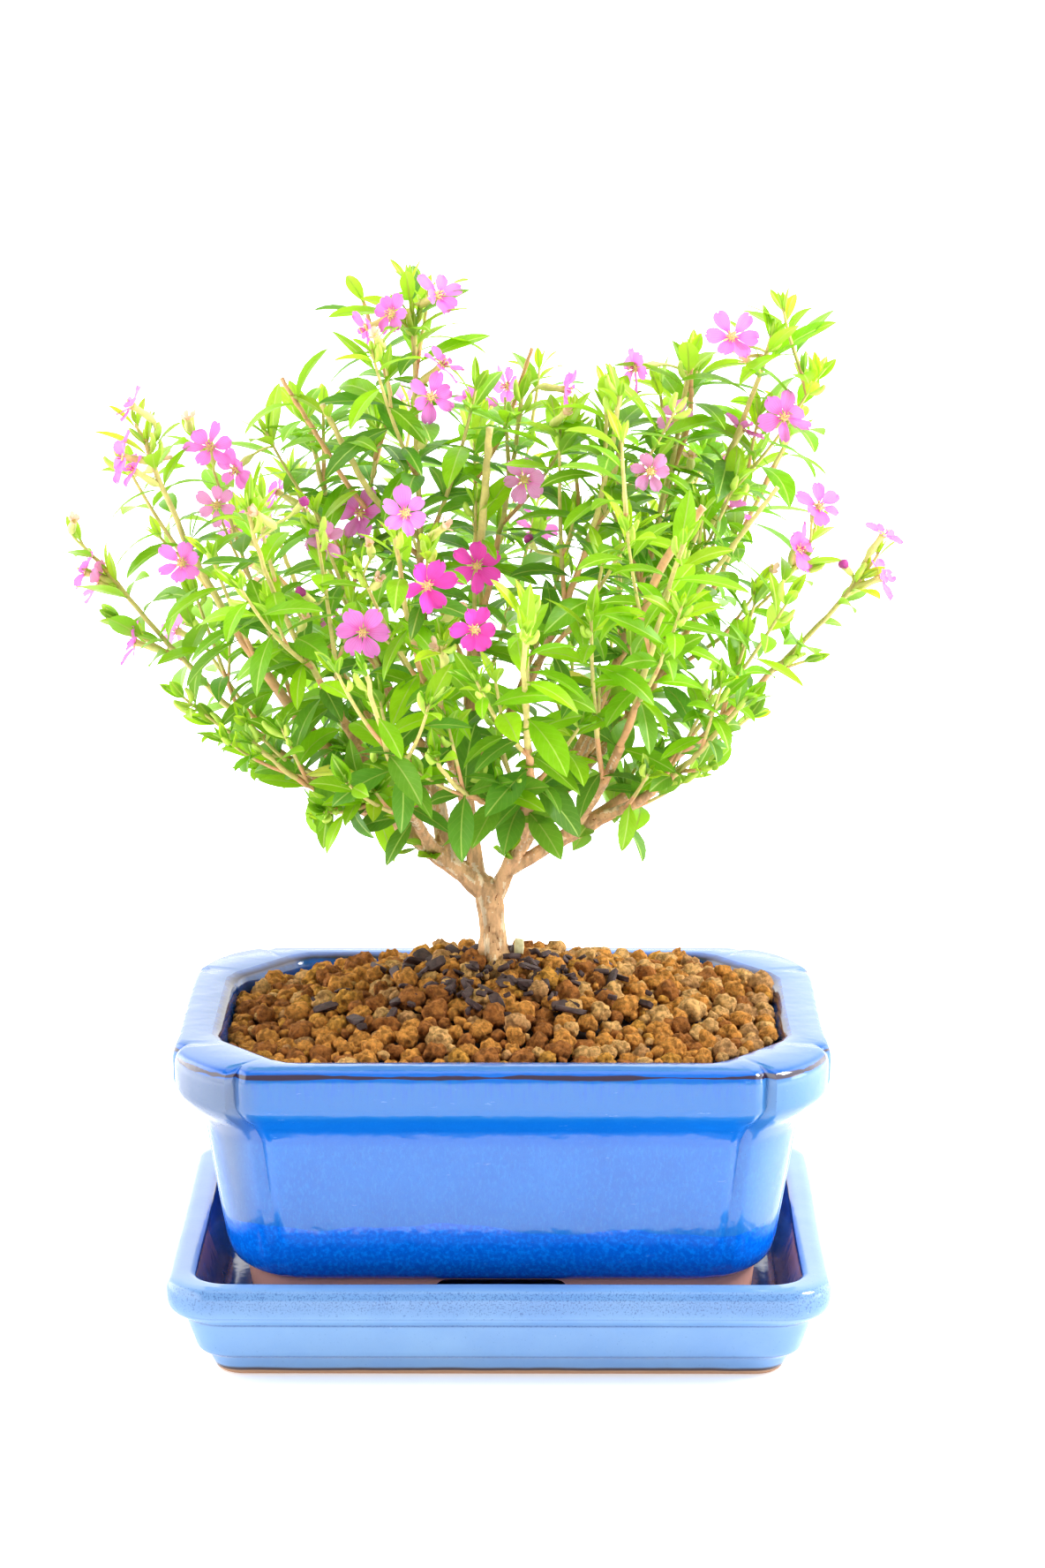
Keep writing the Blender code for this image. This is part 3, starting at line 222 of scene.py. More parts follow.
# Tufts of young leaves on the bare wood: pixels of the photograph
SPROUTS = ((561, 967), (573, 947), (560, 938), (453, 932), (477, 960), (486, 972))

# Grains and bark chips that stand out in the photograph: pixel, and radius or length in mm
MARKED_GRAINS = (((774, 1078), 2.9), ((758, 1162), 3.0), ((570, 1124), 2.8), ((268, 1168), 3.1),
                 ((690, 1094), 2.7), ((590, 1150), 2.7), ((372, 1168), 2.6), ((664, 1102), 2.5))
MARKED_CHIPS = (((370, 1147), 6.5), ((490, 1123), 5.0), ((693, 1117), 6.0), ((403, 1163), 6.5),
                ((647, 1150), 8.0), ((563, 1143), 5.5), ((530, 1133), 5.0), ((480, 1105), 4.5),
                ((612, 1112), 5.5), ((448, 1140), 5.0))

# Flowers that the photograph shows: pixel of the face's centre, the heading and rise that it
# faces (heading -90 is towards the viewer, 0 is to the right), the tint and the size
Bloom = namedtuple("Bloom", "pixel facing tint size")
BLOOMS = tuple(Bloom(*row) for row in (
    ((496, 335), (-40, 25), "orchid", 1.00),
    ((444, 355), (-130, 10), "orchid", 0.85),
    ((416, 371), (-160, -20), "orchid", 0.90),
    ((500, 414), (-20, 40), "orchid", 0.95),
    ((488, 450), (-60, 10), "orchid", 0.95),
    ((575, 437), (-150, 0), "orchid", 0.95),
    ((640, 441), (-20, -5), "orchid", 1.00),
    ((720, 417), (-150, -5), "orchid", 0.95),
    ((829, 381), (-80, 20), "orchid", 1.08),
    ((888, 473), (-70, 25), "orchid", 1.10),
    ((840, 487), (20, 60), "orchid", 0.95),
    ((737, 534), (-100, 10), "pale", 0.85),
    ((928, 574), (-75, 35), "orchid", 0.95),
    ((905, 622), (-35, 5), "orchid", 1.10),
    ((1000, 606), (-10, 55), "orchid", 0.85),
    ((150, 460), (-170, 35), "orchid", 0.90),
    ((140, 518), (-170, 10), "orchid", 1.00),
    ((238, 507), (-95, 40), "orchid", 1.00),
    ((267, 532), (-120, -20), "orchid", 0.90),
    ((246, 572), (-100, 5), "pale", 0.85),
    ((206, 638), (-95, 20), "orchid", 0.95),
    ((408, 581), (-105, 15), "orchid", 1.05),
    ((459, 581), (-75, 20), "orchid", 1.00),
    ((367, 612), (-95, 0), "pale", 0.80),
    ((484, 663), (-70, -5), "deep", 1.12),
    ((540, 641), (-75, 5), "deep", 1.10),
    ((537, 713), (-60, 5), "deep", 1.00),
    ((411, 716), (-92, -2), "orchid", 1.16),
    ((594, 543), (-90, 10), "pale", 0.90),
    ((766, 474), (-100, 20), "pale", 0.75)))
# How a shoot is chosen for a flower: metres added for each flower that it bears already, and
# the share added of how far from the shoot's tip the flower would sit
BEARS_ALREADY = 0.012
FAR_FROM_TIP = 0.05
# Where a flower sits: the place and direction of its shoot, its face's place and direction
Seat = namedtuple("Seat", "spot tangent face facing")
# Round unopened buds and spent flowers: pixel and kind
BUDS = (
    ((343, 570), "bud"), ((600, 612), "bud"), ((957, 641), "bud"), ((519, 689), "spent"),
    ((495, 735), "spent"), ((419, 617), "spent"), ((430, 657), "spent"), ((345, 700), "spent"),
    ((343, 672), "bud"), ((84, 590), "spent"), ((213, 474), "spent"), ((182, 520), "spent"),
    ((291, 582), "spent"), ((503, 597), "spent"), ((478, 490), "spent"), ((640, 468), "spent"),
    ((783, 517), "spent"), ((873, 648), "spent"), ((846, 408), "spent"), ((425, 380), "spent"),
)


class Draw(random.Random):
    """Seeded draws. Called with two numbers, it gives one between them."""

    __call__ = random.Random.uniform

    def vector(self, reach):
        return Vector([self(-reach, reach) for _ in range(3)])


def srgb(red, green, blue):
    """A linear colour from its screen levels, 0 to 255."""
    made = []
    for level in (red / 255.0, green / 255.0, blue / 255.0):
        made.append(level / 12.92 if level <= 0.04045 else ((level + 0.055) / 1.055) ** 2.4)
    return tuple(made)


def scaled(colour, share):
    return tuple(level * share for level in colour)


def path_length(points):
    return sum((high - low).length for low, high in zip(points, points[1:]))


def along(points, distance):
    """The point and the direction at a distance along a path, at most its end."""
    for low, high in zip(points, points[1:]):
        span = (high - low).length
        if distance <= span:
            return low.lerp(high, distance / span), (high - low).normalized()
        distance -= span
    return points[-1].copy(), (points[-1] - points[-2]).normalized()


def rotation(angle, axis):
    return Matrix.Rotation(angle, 3, axis)


def direction(heading, rise):
    heading, rise = radians(heading), radians(rise)
    flat = cos(rise)
    return Vector((flat * cos(heading), flat * sin(heading), sin(rise)))


def side_frame(tangent):
    """Two directions square to a tangent."""
    across = tangent.cross(UP)
    if across.length < 0.05:
        across = tangent.cross(Vector((0.0, 1.0, 0.0)))
    across.normalize()
    return across, across.cross(tangent).normalized()


def spoke(across, other, angle):
    return across * cos(angle) + other * sin(angle)


def around(tangent, angle):
    """A direction square to a tangent, at an angle round it."""
    return spoke(*side_frame(tangent), angle)


def curve(ends, steps):
    return [bezier(ends, step / steps) for step in range(steps + 1)]


def bezier(ends, share):
    start, first, second, last = ends
    back = 1.0 - share
    return (start * back ** 3 + first * 3 * back ** 2 * share
            + second * 3 * back * share ** 2 + last * share ** 3)


def tangents(points):
    found = []
    for step in range(len(points)):
        low = max(step - 1, 0)
        high = min(step + 1, len(points) - 1)
        found.append((points[high] - points[low]).normalized())
    return found


def smooth_step(value, low, high):
    share = min(max((value - low) / (high - low), 0.0), 1.0)
    return share * share * (3.0 - 2.0 * share)


def interpolated(table, value):
    return float(np.interp(value, [row[0] for row in table], [row[1] for row in table]))


class Shape:
    """Points and faces of one piece as they are gathered, with each face's finish."""

    def __init__(self):
        self.points = []
        self.faces = []
        self.finish = []
        self.uv = []

    def add(self, points, faces, finish=0, uv=()):
        """Add a part: finish is one number, or one for each face."""
        self.uv.extend(uv)
        first = len(self.points)
        self.points.extend(points)
        self.faces.extend([tuple(corner + first for corner in face) for face in faces])
        self.finish.extend(finish if isinstance(finish, list) else [finish] * len(faces))

    def loft(self, rows, finish=0):
        """Add a closed solid through rings of points."""
        self.add([point for row in rows for point in row], loft_faces(len(rows), len(rows[0])),
                 finish)


def loft_faces(rows, count, closed=True):
    """Faces between rows of points of equal count. Closed rows are capped at both ends."""
    faces = []
    for row in range(rows - 1):
        low = row * count
        for step in range(count if closed else count - 1):
            after = (step + 1) % count
            faces.append((low + step, low + after, low + count + after, low + count + step))
    if closed:
        faces.append(tuple(reversed(range(count))))
        faces.append(tuple(range((rows - 1) * count, rows * count)))
    return faces


def strip_of(stations, columns):
    """Faces of a blade with points across it at each station, and the points' map places."""
    places = [(share, column / (columns - 1)) for share in stations for column in range(columns)]
    return loft_faces(len(stations), columns, closed=False), places


def tube(points, radii, sides, ripple=0.0, ripples=5):
    """A closed tube along a path. ripple makes ribs along it."""
    made = []
    heading = tangents(points)
    across, _ = side_frame(heading[0])
    for point, tangent, radius in zip(points, heading, radii):
        across = (across - tangent * across.dot(tangent)).normalized()
        other = tangent.cross(across)
        for step in range(sides):
            angle = 2.0 * pi * step / sides
            reach = radius * (1.0 + ripple * cos(ripples * angle))
            made.append(point + spoke(across, other, angle) * reach)
    return made, loft_faces(len(points), sides)


def mesh_of(name, points, faces):
    mesh = bpy.data.meshes.new(name)
    mesh.from_pydata([tuple(point) for point in points], [], faces)
    return mesh


def placed(name, data):
    """A new object in the scene."""
    made = bpy.data.objects.new(name, data)
    bpy.context.scene.collection.objects.link(made)
    return made


def final_mesh(thing):
    """A mesh of an object with its modifiers worked in."""
    evaluated = thing.evaluated_get(bpy.context.evaluated_depsgraph_get())
    return bpy.data.meshes.new_from_object(evaluated)


def make_piece(name, shape, finishes, replaced=(), sharp=None):
    """A smooth piece, with sharp edges over an angle if one is given."""
    mesh = mesh_of(name, shape.points, shape.faces)
    for finish in finishes:
        mesh.materials.append(finish)
    mesh.polygons.foreach_set("material_index", shape.finish)
    mesh.shade_smooth()
    if sharp is not None:
        mesh.set_sharp_from_angle(angle=radians(sharp))
    mesh.validate()
    if shape.uv:
        corners = np.empty(len(mesh.loops), dtype=np.int32)
        mesh.loops.foreach_get("vertex_index", corners)
        layer = mesh.uv_layers.new(name="blade")
        layer.data.foreach_set("uv", np.array(shape.uv, dtype=np.float32)[corners].ravel())
    return ride(mesh, replaced)


def ride(mesh, replaced=()):
    """A piece of the visual model, which rides on the one body."""
    piece = placed(mesh.name, mesh)
    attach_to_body(piece, "root")
    if replaced:
        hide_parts(*replaced)
    return piece


class Nodes:
    """Adds shader nodes to a tree. Values may be sockets or plain numbers and colours."""

    def __init__(self, tree):
        self.tree = tree

    def add(self, kind, values=None, **settings):
        made = self.tree.nodes.new(kind)
        for name, value in settings.items():
            setattr(made, name, value)
        for key, value in (values or {}).items():
            self.put(made.inputs[key], value)
        return made

    def put(self, socket, value):
        if isinstance(value, bpy.types.NodeSocket):
            self.tree.links.new(value, socket)
        elif socket.type == "RGBA" and len(value) == 3:
            socket.default_value = (*value, 1.0)
        else:
            socket.default_value = value

    def math(self, operation, first, second=0.0, clamp=False):
        made = self.add("ShaderNodeMath", {0: first, 1: second}, operation=operation)
        made.use_clamp = clamp
        return made.outputs[0]

    def times(self, first, second):
        return self.math("MULTIPLY", first, second)

    def plus(self, first, second, clamp=False):
        return self.math("ADD", first, second, clamp)

    def minus(self, first, second, clamp=False):
        return self.math("SUBTRACT", first, second, clamp)

    def larger(self, first, second):
        return self.math("MAXIMUM", first, second)

    def size(self, value):
        return self.math("ABSOLUTE", value)

    def parts(self, vector):
        return self.add("ShaderNodeSeparateXYZ", {0: vector}).outputs

    def mix(self, share, low, high):
        return self.add("ShaderNodeMix", {0: share, 6: low, 7: high}, data_type="RGBA").outputs[2]

    def over(self, colour, mask, share, paint):
        """A colour under another, which is as strong as a share of a mask."""
        return self.mix(self.times(mask, share), colour, paint)

    def spread(self, value, low, high, to_low=0.0, to_high=1.0):
        """A value eased from one range to another."""
        return self.add("ShaderNodeMapRange", {0: value, 1: low, 2: high, 3: to_low, 4: to_high},
                        interpolation_type="SMOOTHSTEP").outputs[0]

    def noise(self, vector, scale, detail=3.0, roughness=0.55):
        return self.add("ShaderNodeTexNoise", {"Vector": vector, "Scale": scale, "Detail": detail,
                                               "Roughness": roughness}).outputs["Fac"]

    def stretched(self, vector, scale):
        return self.add("ShaderNodeMapping", {"Vector": vector, "Scale": scale}).outputs[0]

    def group(self, name, values):
        """A node of an effect shared by materials, which is built once."""
        tree = bpy.data.node_groups.get(name) or EFFECTS[name]()
        return self.add("ShaderNodeGroup", values, node_tree=tree).outputs

    def mottle(self, place, scale, low, high, softness, **more):
        """Two colours in soft patches."""
        return self.group("mottle", {"Place": place, "Scale": scale, "Low": low, "High": high,
                                     "Softness": softness, **more})["Colour"]

    def speckle(self, place, scale, amount):
        return self.group("speckle", {"Place": place, "Scale": scale, "Amount": amount})["Mask"]

    def relief(self, place, scale, grain):
        return self.group("relief", {"Place": place, "Scale": scale, "Grain": grain})["Height"]

    def place(self):
        return self.add("ShaderNodeTexCoord").outputs["Object"]


class Finish(Nodes):
    """The nodes of a material with a Principled shader."""

    def __init__(self, name, roughness, **constants):
        self.made = bpy.data.materials.new(name)
        self.made.use_nodes = True
        super().__init__(self.made.node_tree)
        self.shader = self.tree.nodes["Principled BSDF"]
        self.set(Roughness=roughness, **constants)

    def set(self, **values):
        """Give inputs of the shader, by their names with _ for a space."""
        for key, value in values.items():
            self.put(self.shader.inputs[key.replace("_", " ")], value)

    def bump(self, height, strength, distance):
        self.set(Normal=self.add("ShaderNodeBump", {
            "Height": height, "Strength": strength, "Distance": distance}).outputs["Normal"])

    def let_light_through(self, colour, share):
        """Mix in light that shines through a thin blade or petal from behind."""
        through = self.add("ShaderNodeBsdfTranslucent", {"Color": colour}).outputs[0]
        mixed = self.add("ShaderNodeMixShader", {0: share, 1: self.shader.outputs[0], 2: through})
        self.put(self.tree.nodes["Material Output"].inputs["Surface"], mixed.outputs[0])


def new_effect(name, inputs, outputs):
    """An empty shader node group with named inputs and outputs."""
    tree = bpy.data.node_groups.new(name, "ShaderNodeTree")
    for label, kind, default in inputs:
        socket = tree.interface.new_socket(label, in_out="INPUT", socket_type=kind)
        if default is not None:
            socket.default_value = default
    for label, kind in outputs:
        tree.interface.new_socket(label, in_out="OUTPUT", socket_type=kind)
    nodes = Nodes(tree)
    return nodes, nodes.add("NodeGroupInput").outputs, nodes.add("NodeGroupOutput").inputs


NUMBER = "NodeSocketFloat"
COLOUR = "NodeSocketColor"
VECTOR = "NodeSocketVector"


def mottle_effect():
    """Two colours that run into each other in soft patches."""
    nodes, given, result = new_effect(
        "mottle",
        [("Place", VECTOR, None), ("Scale", NUMBER, 200.0), ("Low", COLOUR, None),
         ("High", COLOUR, None), ("Softness", NUMBER, 0.2), ("Balance", NUMBER, 0.5)],
        [("Colour", COLOUR), ("Mask", NUMBER)])
    patches = nodes.noise(given["Place"], given["Scale"], 4.0, 0.6)
    low = nodes.minus(given["Balance"], given["Softness"])
    high = nodes.plus(given["Balance"], given["Softness"])
    mask = nodes.spread(patches, low, high)
    nodes.put(result["Colour"], nodes.mix(mask, given["Low"], given["High"]))
    nodes.put(result["Mask"], mask)
    return nodes.tree


def level_effect():
    """A mask that is 1 above a height, with a wavy edge."""
    nodes, given, result = new_effect(
        "wavy level",
        [("Place", VECTOR, None), ("Level", NUMBER, 0.05), ("Blend", NUMBER, 0.001),
         ("Wave", NUMBER, 0.002), ("Scale", NUMBER, 40.0)],
        [("Mask", NUMBER)])
    height = nodes.parts(given["Place"])["Z"]
    flat = nodes.stretched(given["Place"], (1.0, 1.0, 0.2))
    wave = nodes.noise(flat, given["Scale"], 2.0, 0.5)
    swing = nodes.times(nodes.minus(wave, 0.5), given["Wave"])
    moved = nodes.plus(height, nodes.times(swing, 2.0))
    low = nodes.minus(given["Level"], given["Blend"])
    high = nodes.plus(given["Level"], given["Blend"])
    nodes.put(result["Mask"], nodes.spread(moved, low, high))
    return nodes.tree


def speckle_effect():
    """A mask of fine specks, 1 on a speck."""
    nodes, given, result = new_effect(
        "speckle",
        [("Place", VECTOR, None), ("Scale", NUMBER, 1500.0), ("Amount", NUMBER, 0.3)],
        [("Mask", NUMBER)])
    specks = nodes.noise(given["Place"], given["Scale"], 2.0, 0.7)
    low = nodes.minus(0.78, nodes.times(given["Amount"], 0.4))
    high = nodes.plus(low, 0.1)
    nodes.put(result["Mask"], nodes.spread(specks, low, high))
    return nodes.tree


def relief_effect():
    """A height for a bump: broad swells with a finer grain on them."""
    nodes, given, result = new_effect(
        "relief",
        [("Place", VECTOR, None), ("Scale", NUMBER, 300.0), ("Grain", NUMBER, 0.3)],
        [("Height", NUMBER)])
    broad = nodes.noise(given["Place"], given["Scale"], 3.0, 0.55)
    fine = nodes.noise(given["Place"], nodes.times(given["Scale"], 5.0), 3.0, 0.6)
    nodes.put(result["Height"], nodes.plus(broad, nodes.times(fine, given["Grain"])))
    return nodes.tree


EFFECTS = {"mottle": mottle_effect, "wavy level": level_effect, "speckle": speckle_effect,
           "relief": relief_effect}


def patchy_finish(name, low, high, scale, roughness, bump=(300.0, 0.3, 0.2, 0.0002),
                  softness=0.18, stretch=(1.0, 1.0, 1.0), **constants):
    """A finish of two colours in soft patches, with a bump (scale, grain, strength, depth)."""
    nodes = Finish(name, roughness, **constants)
    place = nodes.stretched(nodes.place(), stretch)
    nodes.set(Base_Color=nodes.mottle(place, scale, low, high, softness))
    nodes.bump(nodes.relief(place, *bump[:2]), *bump[2:])
    return nodes.made


def finish_set(look, names, prefix, share, *patches, **constants):
    """A patchy finish for each named colour, in patches of it and of a darker share of it."""
    return [patchy_finish(prefix + name, scaled(getattr(look, name), share), getattr(look, name),
                          *patches, **constants) for name in names]


def edge_lines(nodes, height, rows):
    """A mask of thin level lines, given as (height, half width, strength) in mm."""
    lines = 0.0
    for level, half, strength in rows:
        away = nodes.size(nodes.minus(height, level * MM))
        line = nodes.spread(away, 0.0, half * MM, strength, 0.0)
        lines = nodes.larger(lines, line)
    return lines


def levels_of(nodes, place, rows):
    """Masks of wavy levels, given as (height, blend, wave, scale), all but scale in mm."""
    return [nodes.group("wavy level", {"Place": place, "Level": height * MM, "Blend": blend * MM,
                                       "Wave": wave * MM, "Scale": scale})["Mask"]
            for height, blend, wave, scale in rows]


def tray_finish(look):
    """Pale milky glaze with dark specks along its edges, bare clay at the very foot."""
    nodes = Finish("milky_glaze", look.gloss, IOR=1.6)
    place = nodes.place()
    height = nodes.parts(place)["Z"]
    colour = nodes.mottle(place, 45.0, look.milk, look.milk_deep, 0.3)
    rounding, top, glazed, clean = levels_of(nodes, place, (
        (17.6, 1.8, 0.8, 60.0), (22.9, 0.5, 0.1, 60.0), (1.1, 0.15, 0.3, 60.0),
        (1.9, 0.35, 0.4, 60.0)))
    rim = nodes.times(rounding, nodes.minus(1.0, top))
    colour = nodes.over(colour, rim, 0.30, look.azure)
    lines = edge_lines(nodes, height, ((13.9, 0.6, 1.0), (5.5, 0.55, 0.8), (16.4, 0.3, 0.4)))
    edge = nodes.larger(nodes.times(rim, 0.85), lines)
    amount = nodes.plus(0.30, nodes.times(edge, 0.42))
    specks = nodes.speckle(place, 2300.0, amount)
    colour = nodes.over(colour, specks, 0.62, look.speck)
    colour = nodes.over(colour, lines, 0.65, look.speck)
    pits = nodes.speckle(place, 420.0, 0.12)
    colour = nodes.over(colour, pits, 0.5, look.scratch)
    colour = nodes.mix(clean, look.brown, colour)
    colour = nodes.mix(glazed, look.clay, colour)
    nodes.set(Base_Color=colour)
    nodes.set(Roughness=nodes.spread(glazed, 0.0, 1.0, 0.8, look.gloss))
    nodes.bump(nodes.relief(place, 130.0, 0.05), 0.22, 0.0006)
    return nodes.made


def shaded_inner_glaze(name, look, edge):
    """Glaze on inner walls, painted darker for the shade inside, with a thin brown line where it
    breaks at the rim.
    """
    nodes = Finish(name, look.gloss, IOR=1.6)
    place = nodes.place()
    height = nodes.parts(place)["Z"]
    colour = nodes.mottle(place, 150.0, look.inner, look.azure, 0.25)
    line = edge_lines(nodes, height, ((edge, 0.9, 0.85),))
    colour = nodes.mix(line, colour, look.brown)
    specks = nodes.speckle(place, 1900.0, 0.25)
    colour = nodes.over(colour, specks, 0.5, look.inner)
    nodes.set(Base_Color=colour)
    nodes.bump(nodes.relief(place, 120.0, 0.05), 0.25, 0.0006)
    return nodes.made


def pot_finish(look):
    """Azure glaze, deeper low down, thin and brown where it breaks on the rim's edge."""
    nodes = Finish("azure_glaze", look.gloss, IOR=1.7)
    place = nodes.place()
    parts = nodes.parts(place)
    cobalt = nodes.mottle(place, 1100.0, look.cobalt, look.cobalt_light, 0.16, Balance=0.56)
    wall = nodes.mottle(place, 70.0, look.wall, look.wall_light, 0.3)
    grain = nodes.noise(nodes.stretched(place, (1.0, 1.0, 0.4)), 1500.0, 3.0, 0.7)
    wall = nodes.mix(nodes.spread(grain, 0.45, 0.70, 0.0, 0.85), wall, look.azure_light)
    pores = nodes.noise(nodes.stretched(place, (1.0, 1.0, 0.5)), 2600.0, 2.0, 0.6)
    wall = nodes.mix(nodes.spread(pores, 0.52, 0.66, 0.0, 0.45), wall, look.azure)
    streaks = nodes.noise(nodes.stretched(place, (1.0, 1.0, 0.14)), 1300.0, 3.0, 0.65)
    drawn = nodes.spread(parts["Z"], 64.0 * MM, 70.0 * MM, 0.12, 0.9)
    streaks = nodes.times(nodes.spread(streaks, 0.40, 0.72), drawn)
    rim = nodes.mix(streaks, look.rim, look.azure)
    painted_reflection_edge, cove_foot, rim_foot, rounding, top, glazed = levels_of(nodes, place, (
        (33.0, 0.22, 6.0, 30.0), (53.8, 0.8, 0.6, 45.0), (61.2, 1.2, 0.3, 60.0),
        (70.9, 0.4, 0.3, 60.0), (72.8, 0.3, 0.2, 60.0), (20.1, 0.2, 0.3, 60.0)))
    # Partly thicker glaze, partly painted reflection: the wavy edge of the deeper blue lies where the
    # wall's reflection of the bright floor gives way to the tray's dark inside
    colour = nodes.mix(painted_reflection_edge, cobalt, wall)
    colour = nodes.over(colour, cove_foot, 0.6, look.azure)
    colour = nodes.mix(rim_foot, colour, rim)
    # Painted reflection: above the low edge the corner pillars are tinted grey on the left and paler
    # blue on the right
    corner = nodes.times(nodes.spread(nodes.size(parts["X"]), 0.052, 0.062),
                        nodes.spread(nodes.size(parts["Y"]), 0.032, 0.042))
    corner = nodes.times(corner, nodes.times(painted_reflection_edge, 0.75))
    pillar_reflection = nodes.mix(nodes.spread(parts["X"], -0.02, 0.02), look.pillar_reflection, look.right_pillar_reflection)
    colour = nodes.mix(corner, colour, pillar_reflection)
    colour = nodes.mix(rounding, colour, look.azure)
    # Painted light: the top of the rim is paler, as light from above falls on it
    colour = nodes.mix(top, colour, look.lit_rim_top)
    scuffs = nodes.noise(nodes.stretched(place, (0.25, 0.25, 1.0)), 700.0, 4.0, 0.7)
    scuffs = nodes.spread(scuffs, 0.66, 0.74)
    colour = nodes.over(colour, scuffs, 0.35, look.scratch)
    specks = nodes.speckle(place, 2300.0, 0.34)
    colour = nodes.over(colour, specks, 0.42, look.speck)
    wave = nodes.noise(nodes.stretched(place, (1.0, 1.0, 0.0)), 34.0, 2.0)
    line = nodes.plus(71.0 * MM, nodes.times(wave, 1.0 * MM))
    away = nodes.size(nodes.minus(parts["Z"], line))
    broken = nodes.noise(nodes.stretched(place, (0.5, 1.0, 1.0)), 90.0, 3.0, 0.6)
    width = nodes.spread(broken, 0.30, 0.60, 0.10 * MM, 0.85 * MM)
    brown = nodes.minus(1.0, nodes.math("DIVIDE", away, width, clamp=True), clamp=True)
    brown = nodes.spread(brown, 0.05, 0.50)
    colour = nodes.over(colour, brown, 0.94, look.brown)
    colour = nodes.mix(glazed, look.clay, colour)
    nodes.set(Base_Color=colour)
    nodes.set(Roughness=nodes.spread(glazed, 0.0, 1.0, 0.85, look.gloss))
    nodes.bump(nodes.relief(place, 110.0, 0.05), 0.35, 0.0008)
    return nodes.made


def leaf_finish(name, colour, under, look):
    """A leaf's blade: soft patches and faint side veins, paler below, lit from behind."""
    nodes = Finish(name, 0.36, Specular_IOR_Level=0.36)
    place = nodes.place()
    light = tuple(min(1.0, level * 1.22 + 0.01) for level in colour)
    face = nodes.mottle(place, 420.0, colour, light, 0.25)
    across = nodes.parts(nodes.add("ShaderNodeUVMap", uv_map="blade").outputs[0])
    side = nodes.size(nodes.minus(across["Y"], 0.5))
    slant = nodes.minus(nodes.times(across["X"], 9.0), nodes.times(side, 5.0))
    ripple = nodes.math("SINE", nodes.times(slant, 6.2832))
    veins = nodes.spread(ripple, 0.75, 1.0)
    face = nodes.over(face, veins, 0.13, look.vein)
    back = nodes.add("ShaderNodeNewGeometry").outputs["Backfacing"]
    nodes.set(Base_Color=nodes.over(face, back, 0.7, under))
    height = nodes.minus(nodes.noise(place, 900.0, 2.0), nodes.times(veins, 0.5))
    nodes.bump(height, 0.25, 0.00015)
    nodes.let_light_through(light, look.glow)
    return nodes.made


def petal_finish(name, colour, deep, look):
    """Crinkled petal: deeper veins run out from its claw."""
    nodes = Finish(name, 0.55, Specular_IOR_Level=0.3)
    place = nodes.place()
    parts = nodes.parts(nodes.add("ShaderNodeUVMap", uv_map="blade").outputs[0])
    fan = nodes.times(nodes.minus(parts["Y"], 0.5), 7.0)
    ribs = nodes.spread(nodes.math("COSINE", nodes.times(fan, 6.2832)), 0.55, 1.0)
    near = nodes.spread(parts["X"], 0.25, 0.85, 0.6, 0.1)
    light = tuple(min(1.0, level * 1.15) for level in colour)
    base = nodes.mottle(place, 500.0, colour, light, 0.3)
    tint = nodes.times(ribs, near)
    tint = nodes.plus(tint, nodes.spread(parts["X"], 0.10, 0.45, 0.75, 0.0), clamp=True)
    nodes.set(Base_Color=nodes.mix(tint, base, deep))
    nodes.bump(nodes.noise(place, 1100.0, 2.0), 0.3, 0.0002)
    nodes.let_light_through(colour, look.glow)
    return nodes.made


def fillet(profile, radius, steps):
    """A profile's points with each corner rounded, by up to a radius."""
    points = [Vector(row) for row in profile]
    made = [points[0]]
    for before, corner, after in zip(points, points[1:], points[2:]):
        behind, ahead = before - corner, after - corner
        start = corner + behind.normalized() * min(radius, 0.45 * behind.length)
        end = corner + ahead.normalized() * min(radius, 0.45 * ahead.length)
        for step in range(steps + 1):
            share = step / steps
            back = 1 - share
            made.append(start * back ** 2 + corner * 2 * share * back + end * share ** 2)
    made.append(points[-1])
    return made


def split_long(profile, longest):
    """A profile with extra points on its long stretches."""
    made = [profile[0]]
    for low, high in zip(profile, profile[1:]):
        parts = max(1, ceil((high - low).length / longest))
        made += [low.lerp(high, step / parts) for step in range(1, parts + 1)]
    return made


def with_sides(outline, side_steps):
    """An outline of four corners with points along the straight sides between them."""
    made = []
    corner_count = len(outline) // 4
    for number in range(4):
        corner = outline[number * corner_count:(number + 1) * corner_count]
        after = outline[(number + 1) * corner_count % len(outline)]
        made += corner
        steps = side_steps[number % 2]
        made += [corner[-1].lerp(after, step / steps) for step in range(1, steps)]
    return made


def mirrored_corners(corner, height):
    """A whole outline, anticlockwise, from the points of its corner at +X, +Y, in mm."""
    points = []
    for side_x, side_y in ((1, 1), (-1, 1), (-1, -1), (1, -1)):
        quarter = corner if side_x * side_y > 0 else corner[::-1]
        points += [Vector((side_x * spot.x, side_y * spot.y, height)) * MM for spot in quarter]
    return points


def round_corner(half_width, half_depth, radius, steps):
    inner = Vector((half_width - radius, half_depth - radius))
    angles = [radians(90) * step / steps for step in range(steps + 1)]
    return [inner + Vector((cos(angle), sin(angle))) * radius for angle in angles]


def lobed_corner(half_width, half_depth, lobe, crease, steps):
    """A corner pillar with a crease on each side, eased into the walls."""
    inner = Vector((half_width - lobe[0], half_depth - lobe[1]))
    reach = Vector((lobe[0] - POT_LOBE_STEP, lobe[1] - POT_LOBE_STEP))
    power = 2.0 / POT_LOBE_POWER
    corner = []
    for share in (0.0, 0.35, 0.7, 1.0):
        dip = crease * share * share
        corner.append(Vector((half_width - dip, inner.y - POT_SHOULDER * (1.0 - share))))
    for step in range(steps + 1):
        angle = radians(12 + 66 * step / steps)
        bulge = Vector((reach.x * cos(angle) ** power, reach.y * sin(angle) ** power))
        corner.append(inner + bulge)
    for share in (1.0, 0.7, 0.35, 0.0):
        dip = crease * share * share
        corner.append(Vector((inner.x - POT_SHOULDER * (1.0 - share), half_depth - dip)))
    return corner


